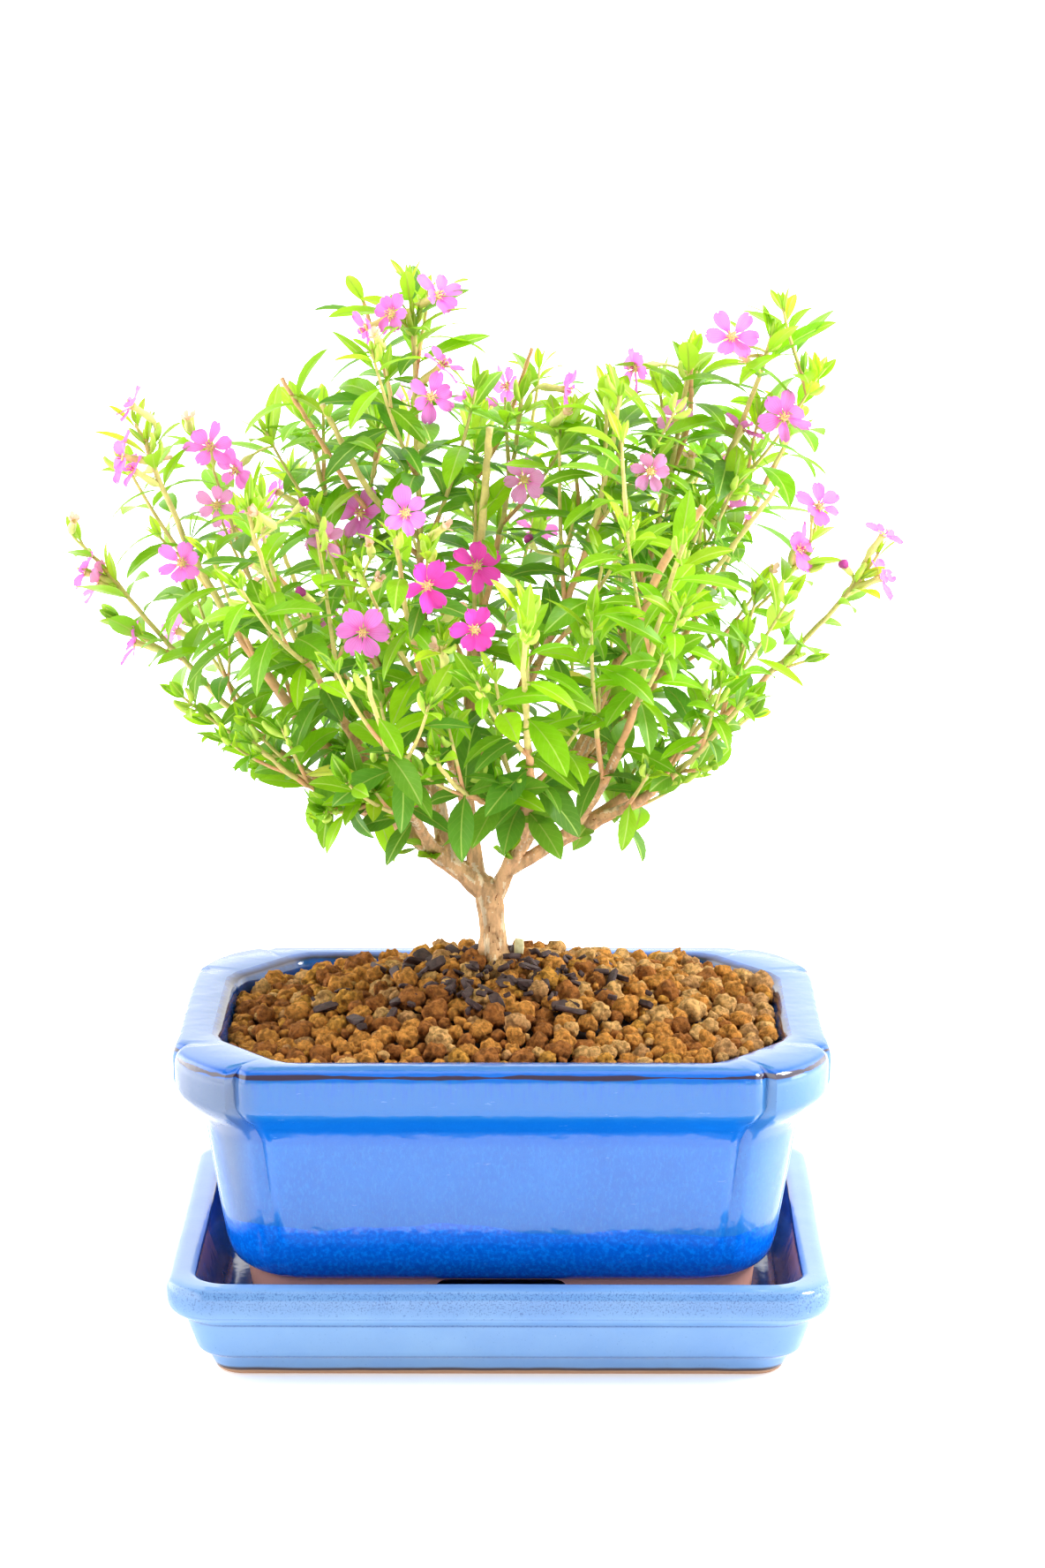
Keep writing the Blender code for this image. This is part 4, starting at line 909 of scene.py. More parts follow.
def mouth_corner(half_width, steps):
    """The mouth's corner, cut across with its ends eased."""
    half_depth = half_width - (POT_MOUTH[0] - POT_MOUTH[1])
    scale = half_width / POT_MOUTH[0]
    chamfer = (POT_MOUTH_CHAMFER[0] * scale, POT_MOUTH_CHAMFER[1] * scale)
    low = Vector((half_width, half_depth - chamfer[1]))
    high = Vector((half_width - chamfer[0], half_depth))
    corner = [low - Vector((0.0, POT_MOUTH_EASE * chamfer[1]))]
    for step in range(steps + 1):
        share = POT_MOUTH_EASE + (1.0 - 2.0 * POT_MOUTH_EASE) * step / steps
        corner.append(low.lerp(high, share))
    corner.append(high - Vector((POT_MOUTH_EASE * chamfer[0], 0.0)))
    return corner


def vessel(rows, inner, *unevenness):
    """A pressed vessel through rings, with a second finish from where its inside starts."""
    shape = Shape()
    count = len(rows[0])
    finish = [0] * (inner * count) + [1] * ((len(rows) - 1 - inner) * count)
    shape.loft([hand_made(row, *unevenness) for row in rows], finish + [0, 1])
    return shape


def hand_made(points, amount, scale, seed, flat_below):
    """Points moved in and out a little, as on a pressed and glazed pot, but not its foot."""
    shift = Vector((seed, seed * 0.7, -seed))
    made = []
    for point in points:
        outward = Vector((point.x, point.y, 0.0)).normalized()
        ease = smooth_step(point.z, flat_below, flat_below + 4.0 * MM)
        swell = noise.noise(point * scale + shift) * amount * ease
        lift = noise.noise(point * scale * 0.7 - shift) * amount * 0.6 * ease
        made.append(point + outward * swell + UP * lift)
    return made


def tray_shape(look):
    inset = TRAY_HALF[0] - TRAY_HALF[1]
    profile = split_long(fillet(TRAY_OUTER + TRAY_INNER, 0.9, 3), 2.6)
    top = max(range(len(profile)), key=lambda index: profile[index][0])
    inner = next(index for index in range(top, len(profile)) if profile[index][1] < 69.0)
    rows = []
    for height, half in profile:
        radius = TRAY_CORNER - 0.5 * (TRAY_HALF[0] - half)
        corner = round_corner(half, half - inset, radius, 9)
        rows.append(with_sides(mirrored_corners(corner, height), (22, 16)))
    return vessel(rows, inner, look.unevenness, 28.0, 3.1, 0.4 * MM)


def pot_shape(look):
    rows = []
    inset = POT_HALF[0] - POT_HALF[1]
    for height, half in split_long(fillet(POT_OUTER, 1.2, 3), 2.6):
        scale = half / POT_HALF[0]
        rise = (height - POT_OUTER[0][0]) / (POT_OUTER[-1][0] - POT_OUTER[0][0])
        crease = POT_CREASE[0] + (POT_CREASE[1] - POT_CREASE[0]) * rise
        lobe = (POT_LOBE[0] * scale, POT_LOBE[1] * scale)
        corner = lobed_corner(half, half - inset, lobe, crease, 12)
        rows.append(with_sides(mirrored_corners(corner, height), (16, 8)))
    inner = len(rows)
    for height, half in split_long(fillet(POT_INNER, 0.8, 3), 6.0):
        corner = mouth_corner(half, 18)
        rows.append(with_sides(mirrored_corners(corner, height), (16, 8)))
    rows = [[point + POT_OFFSET for point in row] for row in rows]
    return vessel(rows, inner, look.unevenness, 26.0, 8.3, 12.0 * MM)


def pot_cutters():
    """Solids of the hollow under the pot and of the arch through its foot."""
    below = POT_OUTER[0][0] - 2.0
    inset = POT_HALF[0] - POT_HALF[1]
    top, recess_inset, bend = POT_RECESS
    half = POT_OUTER[0][1] - recess_inset
    corner = round_corner(half, half - inset, bend, 6)
    recess = Shape()
    recess.loft([[point + POT_OFFSET for point in mirrored_corners(corner, height)]
                 for height in (below, top)])
    width, arch_top, bend = POT_ARCH
    outline = [Vector((-width / 2, 0.0, below)), Vector((width / 2, 0.0, below))]
    for side, first in ((1, 0), (-1, 90)):
        for step in range(7):
            angle = radians(first + 15 * step)
            x = side * (width / 2 - bend) + bend * cos(angle)
            outline.append(Vector((x, 0.0, arch_top - bend + bend * sin(angle))))
    arch = Shape()
    reach = Vector((0.0, POT_HALF[1] + 2.0, 0.0))
    arch.loft([[(point + side * reach) * MM + POT_OFFSET for point in outline] for side in (1, -1)])
    return recess, arch


def cut_out(piece, cutter):
    """Cut a solid out of a piece for good."""
    mesh = mesh_of("cutter", cutter.points, cutter.faces)
    work = bmesh.new()
    work.from_mesh(mesh)
    bmesh.ops.recalc_face_normals(work, faces=work.faces)
    work.to_mesh(mesh)
    work.free()
    helper = placed("cutter", mesh)
    modifier = piece.modifiers.new("cut", "BOOLEAN")
    modifier.operation = "DIFFERENCE"
    modifier.solver = "EXACT"
    modifier.object = helper
    piece.data = final_mesh(piece)
    piece.modifiers.clear()
    bpy.data.objects.remove(helper, do_unlink=True)


def soil_height(x, y):
    """Height of the mound's smooth surface, all in metres."""
    off_x = (x - TRUNK_FOOT.x) / (SOIL_SPREAD[0] * MM)
    off_y = (y - TRUNK_FOOT.y) / (SOIL_SPREAD[1] * MM)
    mound = SOIL_MOUND * MM * exp(-0.5 * (off_x ** 2 + off_y ** 2))
    return SOIL_EDGE_HEIGHT * MM + mound + SOIL_TILT[0] * x + SOIL_TILT[1] * y


def mouth_outline(height, clearance):
    """The soil's outline against the pot's inner wall at a height, in metres."""
    low, high = POT_INNER[3], POT_INNER[2]
    share = (height / MM - low[0]) / (high[0] - low[0])
    half = low[1] + (high[1] - low[1]) * min(max(share, 0.0), 1.0) - clearance / MM
    corner = mouth_corner(half, 8)
    return [point + POT_OFFSET for point in mirrored_corners(corner, height / MM)]


def soil_bed_shape(look):
    """The packed soil under the loose grains."""
    shape = Shape()
    rows = [mouth_outline(height * MM, 0.45 * MM) for height in (29.5, 34.5, 60.0)]
    edge = mouth_outline(66.0 * MM, 0.6 * MM)
    centre = Vector((TRUNK_FOOT.x, TRUNK_FOOT.y, 0.0))
    rings = 16
    for ring in range(rings):
        share = 1.0 - ring / rings
        row = []
        for point in edge:
            spot = centre.lerp(point, share)
            lump = noise.noise(spot * 320.0) * 0.8 * MM
            spot.z = soil_height(spot.x, spot.y) - look.bed_depth + lump
            row.append(spot)
        rows.append(row)
    shape.loft(rows)
    return shape


def unit_lump(level, draw, pitted):
    """A rough grain about one across: a ball pushed in and out, with pits."""
    work = bmesh.new()
    bmesh.ops.create_icosphere(work, subdivisions=level, radius=0.5)
    shift = draw.vector(9)
    for vertex in work.verts:
        way = vertex.co.normalized()
        broad = noise.noise(way * 1.1 + shift) * 0.34
        middle = noise.noise(way * 2.6 - shift) * 0.22
        pit = noise.noise(way * 5.2 + shift * 2.0)
        dent = min(0.0, pit + 0.05) * pitted
        vertex.co = way * 0.5 * (1.0 + broad + middle + dent)
    points = np.array([tuple(vertex.co) for vertex in work.verts])
    faces = [tuple(vertex.index for vertex in face.verts) for face in work.faces]
    work.free()
    return points, faces


def turned(points, draw, scale, place):
    """A lump's points at a random turn, scaled and put in place."""
    spin = Matrix.Identity(3)
    for axis in "XZY":
        spin = spin @ rotation(draw(0, 6.283), axis)
    return (points * np.array(scale)) @ np.array(spin).T + np.array(place)


def inside_outline(x, y, outline):
    """Whether a point is inside a closed outline seen from above."""
    crossings = 0
    for low, high in zip(outline, outline[1:] + outline[:1]):
        if (low.y > y) != (high.y > y):
            if x < low.x + (high.x - low.x) * (y - low.y) / (high.y - low.y):
                crossings += 1
    return crossings % 2 == 1


def scatter_spots(look, draw):
    """Places for the grains, the large ones first, then smaller ones in the gaps between."""
    outline = mouth_outline(SOIL_TOP, 0.0)
    low_x, high_x = min(p.x for p in outline), max(p.x for p in outline)
    low_y, high_y = min(p.y for p in outline), max(p.y for p in outline)
    cell = 2.0 * look.grain_large
    grid = {}
    spots = []

    def near(x, y):
        key = (int(x / cell), int(y / cell))
        return [spot for dx in (-1, 0, 1) for dy in (-1, 0, 1)
                for spot in grid.get((key[0] + dx, key[1] + dy), ())]

    sizes = sorted((look.grain_small + (look.grain_large - look.grain_small)
                    * draw.random() ** 1.9 for _ in range(look.grains)), reverse=True)
    for size in sizes:
        for _ in range(GRAIN_TRIES):
            x, y = draw(low_x, high_x), draw(low_y, high_y)
            margin = 1.0 + 0.7 * size / max(abs(x), abs(y), 1e-6)
            if not inside_outline((x - POT_OFFSET.x) * margin + POT_OFFSET.x,
                                  (y - POT_OFFSET.y) * margin + POT_OFFSET.y, outline):
                continue
            if all(hypot(x - other[0], y - other[1]) > look.crowding * (size + other[2])
                   for other in near(x, y)):
                spots.append((x, y, size))
                grid.setdefault((int(x / cell), int(y / cell)), []).append(spots[-1])
                break
    return spots


def trunk_centre(share):
    point = TRUNK_FOOT.lerp(TRUNK_FORK, share)
    point.x += TRUNK_SWAY * sin(pi * share)
    return point


class LimbPath:
    """A limb's curve: its bough, then the stem of its mass of foliage."""

    def __init__(self, limb, start, draw):
        heading, rise, reach = limb.tip
        leave = direction(*limb.leave)
        arrive = direction(heading, limb.tip_rise)
        tip = TRUNK_FORK + direction(heading, rise) * reach * MM - arrive * LIMB_BUD
        chord = (tip - start).length
        self.limb = limb
        self.ends = (start, start + leave * chord * LIMB_HANDLE,
                     tip - arrive * chord * LIMB_HANDLE, tip)
        self.waver = [draw.vector(1) * BOUGH_WAVER for _ in range(BOUGH_RINGS + 1)]
        for ring in (0, BOUGH_RINGS - 1, BOUGH_RINGS):
            self.waver[ring] = Vector()
        self.bough = [self.on_curve(limb.share * ring / BOUGH_RINGS)
                      for ring in range(BOUGH_RINGS + 1)]

    def on_curve(self, share):
        """A point of the limb, by its share of the whole curve."""
        point = bezier(self.ends, share)
        place = share / self.limb.share * BOUGH_RINGS
        if place < BOUGH_RINGS:
            low = int(place)
            point = point + self.waver[low].lerp(self.waver[low + 1], place - low)
        return point

    def radius(self, share):
        base = self.limb.radius * MM
        return LIMB_TIP_RADIUS + (base - LIMB_TIP_RADIUS) * max(0.0, 1.0 - share) ** LIMB_TAPER

    def on_bough(self, share):
        """A point on the straight stretches of the bough as it was made."""
        place = share * BOUGH_RINGS
        low = min(int(place), BOUGH_RINGS - 1)
        return self.bough[low].lerp(self.bough[low + 1], place - low)

    def stretch(self, first, last, steps):
        """Points and radii between two shares of the limb."""
        shares = [first + (last - first) * step / steps for step in range(steps + 1)]
        return [self.on_curve(share) for share in shares], [self.radius(share) for share in shares]


def trace_limbs():
    """Every limb's path, each starting on its parent's centre line."""
    draw = Draw(LIMB_SEED)
    paths = {}
    for limb in LIMBS:
        if limb.parent == "trunk":
            start = trunk_centre(limb.at)
            if limb.at == 1.0:
                start = start + UP * 0.3 * MM
        else:
            start = paths[limb.parent].on_bough(limb.at)
        paths[limb.name] = LimbPath(limb, start, draw)
    return paths


def bark_core(look, paths):
    """Trunk, boughs and the woody foot of each stem as plain tubes."""
    shape = Shape()
    sides, rings = 20, 26
    points = []
    for ring in range(rings + 1):
        share = ring / rings
        centre = trunk_centre(share)
        flare = ROOT_LOBE_SHARE * max(0.0, 1.0 - share / 0.2)
        for step in range(sides):
            angle = 2.0 * pi * step / sides
            radius = interpolated(TRUNK_RADIUS, share) * MM
            radius *= 1.04 + 0.12 * smooth_step(share, 0.55, 0.95)
            radius *= 1.0 + flare * cos(ROOT_LOBES * angle + 0.8)
            points.append(centre + Vector((radius * cos(angle), radius * sin(angle), 0.0)))
    shape.add(points, loft_faces(rings + 1, sides))
    foot = trunk_centre(0.0)
    for heading, reach, radius in ROOTS:
        way = direction(heading, -14)
        path = [foot + UP * 1.2 * MM + way * reach * share * MM for share in (0.0, 0.4, 0.75, 1.0)]
        shape.add(*tube(path, [level * radius * MM for level in (1.0, 1.0, 0.9, 0.5)], 10))
    for path in paths.values():
        first = 0.0
        if path.limb.parent == "trunk" and path.limb.at == 1.0:
            first = -0.012
        last = path.limb.share + look.woody_share * (1.0 - path.limb.share)
        centres, radii = path.stretch(first, last, STEM_STEPS)
        for index in range(len(centres)):
            swell = exp(-((index - 0.3) / 2.2) ** 2)
            knot = 0.10 * sin(index * 2.4 + path.limb.radius * 40.0) ** 4
            radii[index] *= 1.0 + 0.22 * swell + knot
        shape.add(*tube(centres, radii, 10))
    return shape


def remeshed(shape, voxel):
    """One skin round overlapping solids, by Blender's voxel remesh."""
    helper = placed("limbs", mesh_of("limbs", shape.points, shape.faces))
    modifier = helper.modifiers.new("skin", "REMESH")
    modifier.mode = "VOXEL"
    modifier.voxel_size = voxel
    smooth = helper.modifiers.new("ease", "SMOOTH")
    smooth.factor = 0.5
    smooth.iterations = 3
    made = final_mesh(helper)
    bpy.data.objects.remove(helper, do_unlink=True)
    return made


def limb_samples(paths):
    """Points along the trunk and every limb, with their directions, for the bark's grain."""
    rows = []
    for step in range(24):
        low, high = trunk_centre(step / 24), trunk_centre((step + 1) / 24)
        rows.append((low, (high - low).normalized(), step * 0.7 * MM))
    for number, path in enumerate(paths.values()):
        points, _ = path.stretch(0.0, 0.62, 60)
        distance = 0.03 * number
        for low, high in zip(points, points[1:]):
            rows.append((low, (high - low).normalized(), distance))
            distance += (high - low).length
    return rows


def carve_bark(mesh, paths, look):
    """Push the skin in and out along the grain: long plates with dark slits between them."""
    rows = limb_samples(paths)
    tree = KDTree(len(rows))
    for index, row in enumerate(rows):
        tree.insert(row[0], index)
    tree.balance()
    depth = []
    for vertex in mesh.vertices:
        _, index, _ = tree.find(vertex.co)
        centre, way, distance = rows[index]
        away = vertex.co - centre
        run = distance + away.dot(way)
        across, other = side_frame(way)
        angle = atan2(away.dot(other), away.dot(across))
        radius = away.length
        ring = Vector((cos(angle), sin(angle), 0.0))
        plates = noise.noise(Vector((ring.x * 2.6, ring.y * 2.6, run * 150.0)))
        fibres = noise.noise(Vector((ring.x * 9.0, ring.y * 9.0, run * 110.0 + 7.0)))
        lumps = noise.noise(vertex.co * 420.0)
        slit = -smooth_step(abs(plates), 0.07, 0.0)
        depth.append((0.55 * plates + 0.55 * fibres + 0.22 * lumps + 0.8 * slit, radius))
    normals = [vertex.normal.copy() for vertex in mesh.vertices]
    for vertex, normal, (height, radius) in zip(mesh.vertices, normals, depth):
        strength = look.bark_relief * min(1.0, radius / (2.2 * MM))
        strength *= 0.55 + 0.45 * smooth_step(vertex.co.z, 150.0 * MM, 105.0 * MM)
        vertex.co = vertex.co + normal * (height * strength + look.thickness)
    groove = np.array([row[0] for row in depth])
    dark = []
    for polygon in mesh.polygons:
        level = float(groove[list(polygon.vertices)].mean())
        high = polygon.center.z > UPPER_BARK
        if level < -0.62:
            dark.append(1)
        elif level > 0.16:
            dark.append(2)
        else:
            dark.append(3 if high else 0)
    mesh.polygons.foreach_set("material_index", dark)


def photo_pixel(point):
    """The pixel of the photograph that shows a point."""
    away = CAMERA_TURN.transposed() @ (point - CAMERA_PLACE)
    return (PHOTO_WIDTH / 2 - away.x / away.z * PHOTO_FOCAL,
            PHOTO_HEIGHT / 2 + away.y / away.z * PHOTO_FOCAL)


def in_crown(point, slack=0.0):
    """Whether a point is within the crown's outline and its depth, grown by a slack."""
    x, z = point.x / MM, point.z / MM
    reach = hypot(x - CROWN_MIDDLE[0], z - CROWN_MIDDLE[1])
    if slack and reach > 1.0:
        x -= (x - CROWN_MIDDLE[0]) / reach * slack / MM
        z -= (z - CROWN_MIDDLE[1]) / reach * slack / MM
    oval = sqrt(max(0.0, 1.0 - (point.x / CROWN_HALF_WIDTH) ** 2))
    depth = interpolated(CROWN_DEPTH, z) * oval * MM + slack
    return (inside_outline(x, z, CROWN_OUTLINE) and abs(point.y - TRUNK_FORK.y) < depth
            and inside_outline(*photo_pixel(point), VIEW_OUTLINE))


class Space:
    """Which mass a point of the crown belongs to: the one whose stem is nearest."""

    def __init__(self, paths, look):
        self.look = look
        pieces = []
        for index, path in enumerate(paths.values()):
            points, _ = path.stretch(path.limb.share, 1.0, 5)
            pieces += [(low, high, index) for low, high in zip(points, points[1:])]
        starts, ends, owners = zip(*pieces)
        self.names = list(paths)
        self.starts = np.array(starts)
        self.spans = np.array(ends) - self.starts
        self.lengths = (self.spans ** 2).sum(axis=1)
        self.owners = np.array(owners)

    def holds(self, name, point):
        if not in_crown(point):
            return False
        away = np.array(point) - self.starts
        share = np.clip((away * self.spans).sum(axis=1) / self.lengths, 0.0, 1.0)
        distance = np.linalg.norm(away - self.spans * share[:, None], axis=1)
        own = self.owners == self.names.index(name)
        return distance[own].min() < distance[~own].min() + SPACE_SLACK


class Shoot:
    """One shoot: its path, its radii, how many forks it is from a limb, and its mass."""

    def __init__(self, points, radii, order, mass):
        self.points = points
        self.radii = radii
        self.order = order
        self.mass = mass
        self.length = path_length(points)
        self.bare = 0.0

    def radius(self, share):
        return float(np.interp(share, np.linspace(0, 1, len(self.radii)), self.radii))


def side_shoot(parent, share, turn, length, spread, look):
    """Points of a shoot that leaves another at an angle and bends upwards."""
    start, tangent = along(parent.points, share * parent.length)
    outward = (around(tangent, turn) + UP * look.lift).normalized()
    leave = (tangent * cos(spread) + outward * sin(spread)).normalized()
    arrive = (leave + UP * look.lift + tangent * 0.3).normalized()
    last = start + (leave + arrive) * length / 2
    ends = (start, start + leave * length * 0.35, last - arrive * length * 0.35, last)
    return curve(ends, max(4, int(length / (4.0 * MM))))


def grow_shoots(look, paths):
    """Every shoot of the plant: the stems, their side shoots and the twigs on those."""
    space = Space(paths, look)
    grown = []
    for number, path in enumerate(paths.values()):
        draw = space.draw = Draw(look.seed + number)
        points, radii = path.stretch(path.limb.share - 0.01, 1.0, STEM_STEPS)
        for index in range(1, len(points) - 1):
            points[index] = points[index] + draw.vector(1) * STEM_WAVER * MM
        while len(points) > STEM_LEAST and not inside_outline(*photo_pixel(points[-1]), VIEW_OUTLINE):
            points.pop()
            radii.pop(-2)
        stem = Shoot(points, radii, 0, path.limb.name)
        grown.append(stem)
        turn = draw(0.0, 2.0 * pi)
        for share in SHOOT_STARTS:
            share += draw(-0.04, 0.04)
            length = look.shoot_share * stem.length * (1.0 - share) * draw(0.85, 1.2)
            made = clipped_shoot(stem, share, turn, length + look.shoot_least, space, 1)
            if made is not None:
                grown.append(made)
                grow_twigs(made, space, grown)
            turn += GOLDEN_ANGLE
    return grown


def clipped_shoot(parent, share, turn, length, space, order):
    """A side shoot, cut short where it would leave its mass's space, or None."""
    look = space.look
    spread = radians(SHOOT_SPREAD + space.draw(-6, 8))
    points = side_shoot(parent, share, turn, length, spread, look)
    while len(points) > 2 and not space.holds(parent.mass, points[-1]):
        points.pop()
    if path_length(points) < look.twig_least:
        return None
    foot = min(0.82 * parent.radius(share), look.shoot_radius * (1.0 if order == 1 else 0.75))
    count = len(points) - 1
    radii = [foot + (SHOOT_TIP - foot) * ring / count for ring in range(count + 1)]
    return Shoot(points, radii, order, parent.mass)


def grow_twigs(parent, space, grown):
    """Short twigs on a side shoot."""
    look, draw = space.look, space.draw
    turn = draw(0.0, 2.0 * pi)
    distance = look.twig_gap * draw(0.5, 1.0)
    while distance < parent.length - look.twig_gap:
        length = draw(0.6, 1.3) * look.twig_length
        length = min(length, 0.8 * (parent.length - distance) + look.twig_least)
        made = clipped_shoot(parent, distance / parent.length, turn, length, space, 2)
        if made is not None:
            grown.append(made)
        turn += GOLDEN_ANGLE
        distance += look.twig_gap * draw(0.8, 1.3)


BLADE_STATIONS = np.array([0.0, 0.07, 0.18, 0.32, 0.48, 0.64, 0.79, 0.91, 1.0])
BLADE_WIDTHS = np.array([0.07, 0.12, 0.52, 0.86, 1.0, 0.93, 0.68, 0.34, 0.0])


def blade_points(root, way, face_up, length, width, arch, fold, twist):
    """A leaf's points: five strips across, curved along its length and folded at the rib."""
    across = way.cross(face_up).normalized()
    upward = across.cross(way).normalized()
    forward, side, high = np.array(way), np.array(across), np.array(upward)
    rib = 0.16 * MM
    points = []
    centre = np.array(root)
    previous = 0.0
    for share, breadth in zip(BLADE_STATIONS, BLADE_WIDTHS):
        bend = -arch * (share + previous) / 2
        centre = centre + (forward * cos(bend) + high * sin(bend)) * length * (share - previous)
        previous = share
        lean = -arch * share
        normal = high * cos(lean) - forward * sin(lean)
        roll = twist * share
        flat = side * cos(roll) + normal * sin(roll)
        normal = normal * cos(roll) - side * sin(roll)
        half = 0.5 * width * breadth
        inner = min(rib, 0.5 * half)
        for spot in (-half, -0.55 * half, -inner, inner, 0.55 * half, half):
            lift = fold * abs(spot) - 0.35 * fold * spot * spot / max(half, 1e-6)
            if abs(spot) == inner:
                lift -= 0.12 * MM
            points.append(centre + flat * spot + normal * lift)
    return points


BLADE_COLUMNS = 6
BLADE_FACES, BLADE_UV = strip_of(BLADE_STATIONS, BLADE_COLUMNS)


def tip_kind(spot, draw):
    """Low shoots end in greener leaves than high ones."""
    return "tip" if spot.z > 0.168 or draw.random() < 0.35 else "mid"


def leaf_kind(spot, from_tip, draw):
    """Which of the leaf colours a leaf takes, by its place on the shoot and in the crown."""
    if draw.random() < 0.010 and spot.z < 0.15:
        return "aged"
    if from_tip < 5.0 * MM:
        return tip_kind(spot, draw)
    if from_tip < 15.0 * MM and draw.random() < 0.6:
        return "young"
    # Darker cool leaves are dealt out more often low down and near the middle of the crown
    low = smooth_step(spot.z, 0.165, 0.115)
    inside = smooth_step(hypot(spot.x + 0.004, spot.y - 0.008), 0.060, 0.015)
    if draw.random() < 0.15 + 0.40 * low + 0.45 * inside:
        return "cool"
    if spot.y < -0.010 and draw.random() < 0.5:
        return "young"
    return "mid"


LEAF_KINDS = ("tip", "young", "mid", "cool", "aged")
# A leaf that would hide a flower or leave the crown is turned aside and made shorter
LEAF_TRIES = ((0.0, 1.0), (0.5, 0.88), (-0.5, 0.88), (1.0, 0.76), (-1.0, 0.76), (0.0, 0.6))
LEAF_SHADES = (("a", 1.0), ("b", 0.84), ("c", 1.16))       # name and brightness
RIB = len(LEAF_SHADES)


class Leaves:
    """The leaves of the plant by kind, which keep out of the views of its flowers."""

    def __init__(self, look, blooms, radius, draw):
        self.look = look
        self.draw = draw
        self.blades = {kind: Shape() for kind in LEAF_KINDS}
        self.views = []
        for seat, bloom in blooms:
            way = seat.face - CAMERA_PLACE
            self.views.append((way.normalized(), way.length, radius * bloom.size))

    def hides_flower(self, points):
        """Whether one of some points would hide a flower that the photograph shows."""
        for point in points:
            away = Vector(point) - CAMERA_PLACE
            for way, reach, radius in self.views:
                run = away.dot(way)
                if run < reach and (away - way * run).length < radius:
                    return True
        return False

    def add(self, spot, tangent, outward, lean, length, kind, radius, slim=1.0):
        """One leaf, its root on the shoot's skin, its face turned to the light."""
        look, draw = self.look, self.draw
        low = smooth_step(spot.z, 0.190, 0.125)
        share = look.leaf_width + (look.leaf_width_low - look.leaf_width) * low
        width = share * draw(0.84, 1.2) * slim * length
        arch = draw(0.35, 1.20) * smooth_step(length, 5.0 * MM, 13.0 * MM)
        fold, twist = draw(0.10, 0.40), draw(-0.7, 0.7)
        skyward = look.skyward * draw(0.3, 1.6)
        for turn, shorter in LEAF_TRIES:
            aside = rotation(turn, tangent) @ outward
            way = (tangent * cos(lean) + aside * sin(lean)).normalized()
            face_up = tangent * sin(lean) - aside * cos(lean)
            face_up = (face_up + UP * skyward).normalized()
            points = blade_points(spot + aside * 0.6 * radius, way, face_up, length * shorter,
                                  width * shorter ** 0.6, arch, fold, twist)
            rib = points[2::2 * BLADE_COLUMNS]
            if in_crown(Vector(points[-1]), look.leaf_slack) and not self.hides_flower(rib):
                break
        else:
            return
        shade = draw.randrange(RIB)
        strip = [shade, shade, RIB, shade, shade]
        self.blades[kind].add(points, BLADE_FACES, strip * (len(BLADE_STATIONS) - 1), BLADE_UV)


Station = namedtuple("Station", "spot tangent radius from_tip turn")


def stations(shoot, look, draw):
    """Where a shoot bears its opposite pairs of leaves, closer towards its tip."""
    distance = look.first_pair if shoot.order == 0 else 4.5 * MM
    turn = draw(0.0, pi)
    found = []
    while distance < shoot.length - 2.4 * MM:
        from_tip = shoot.length - distance
        spot, tangent = along(shoot.points, distance)
        found.append(Station(spot, tangent, shoot.radius(distance / shoot.length), from_tip, turn))
        turn += pi / 2 + draw(-0.25, 0.25)
        crowding = 0.50 + 0.50 * smooth_step(from_tip, 3.0 * MM, 20.0 * MM)
        crowding *= 1.0 - 0.22 * smooth_step(spot.z, 0.180, 0.205)
        distance += look.pair_gap * crowding * draw(0.85, 1.15)
    return found


def leafy(shoot, found, leaves):
    """Opposite pairs of leaves along a shoot, and the small crowded ones at its tip."""
    look, draw = leaves.look, leaves.draw
    for spot, tangent, radius, from_tip, turn in found:
        grown = smooth_step(from_tip, -1.0 * MM, 9.0 * MM)
        size = look.leaf_small + (look.leaf_large - look.leaf_small) * grown
        size *= 1.0 - 0.06 * shoot.order
        size *= 1.0 - 0.14 * smooth_step(spot.z, 0.180, 0.125)
        size *= 1.0 + 0.16 * smooth_step(spot.z, 0.190, 0.215)
        lean = radians(32.0 + 38.0 * smooth_step(from_tip, 2.0 * MM, 14.0 * MM))
        missing = look.missing + look.missing_low * smooth_step(spot.z, 0.185, 0.150)
        if shoot.bare:
            missing = 1.0 if from_tip < shoot.bare else 0.12
        for side in (0.0, pi):
            outward = around(tangent, turn + side + draw(-0.25, 0.25))
            if draw.random() < missing:
                continue
            leaves.add(spot, tangent, outward, lean + draw(-0.22, 0.26),
                       size * draw(0.74, 1.16), leaf_kind(spot, from_tip, draw), radius)
            if from_tip > 12.0 * MM and draw.random() < look.axil_tufts:
                for _ in range(2):
                    leaves.add(spot + outward * 0.5 * MM, tangent, outward,
                               radians(draw(18, 50)), draw(4.5, 8.0) * MM, "young", radius)
    if shoot.bare:
        return
    tip, tangent = along(shoot.points, shoot.length)
    turn = draw(0.0, pi)
    for index in range(6 if shoot.order < 2 else 4):
        inner = index < 2
        outward = around(tangent, turn + index * pi + (pi / 2 if inner else 0.0))
        length = draw(3.6, 4.8) if inner else draw(5.6, 9.0)
        leaves.add(tip - tangent * (0.3 if inner else 1.2) * MM, tangent, outward,
                   radians(10 if inner else 24), length * MM, tip_kind(tip, draw), 0.3 * MM,
                   slim=1.05)


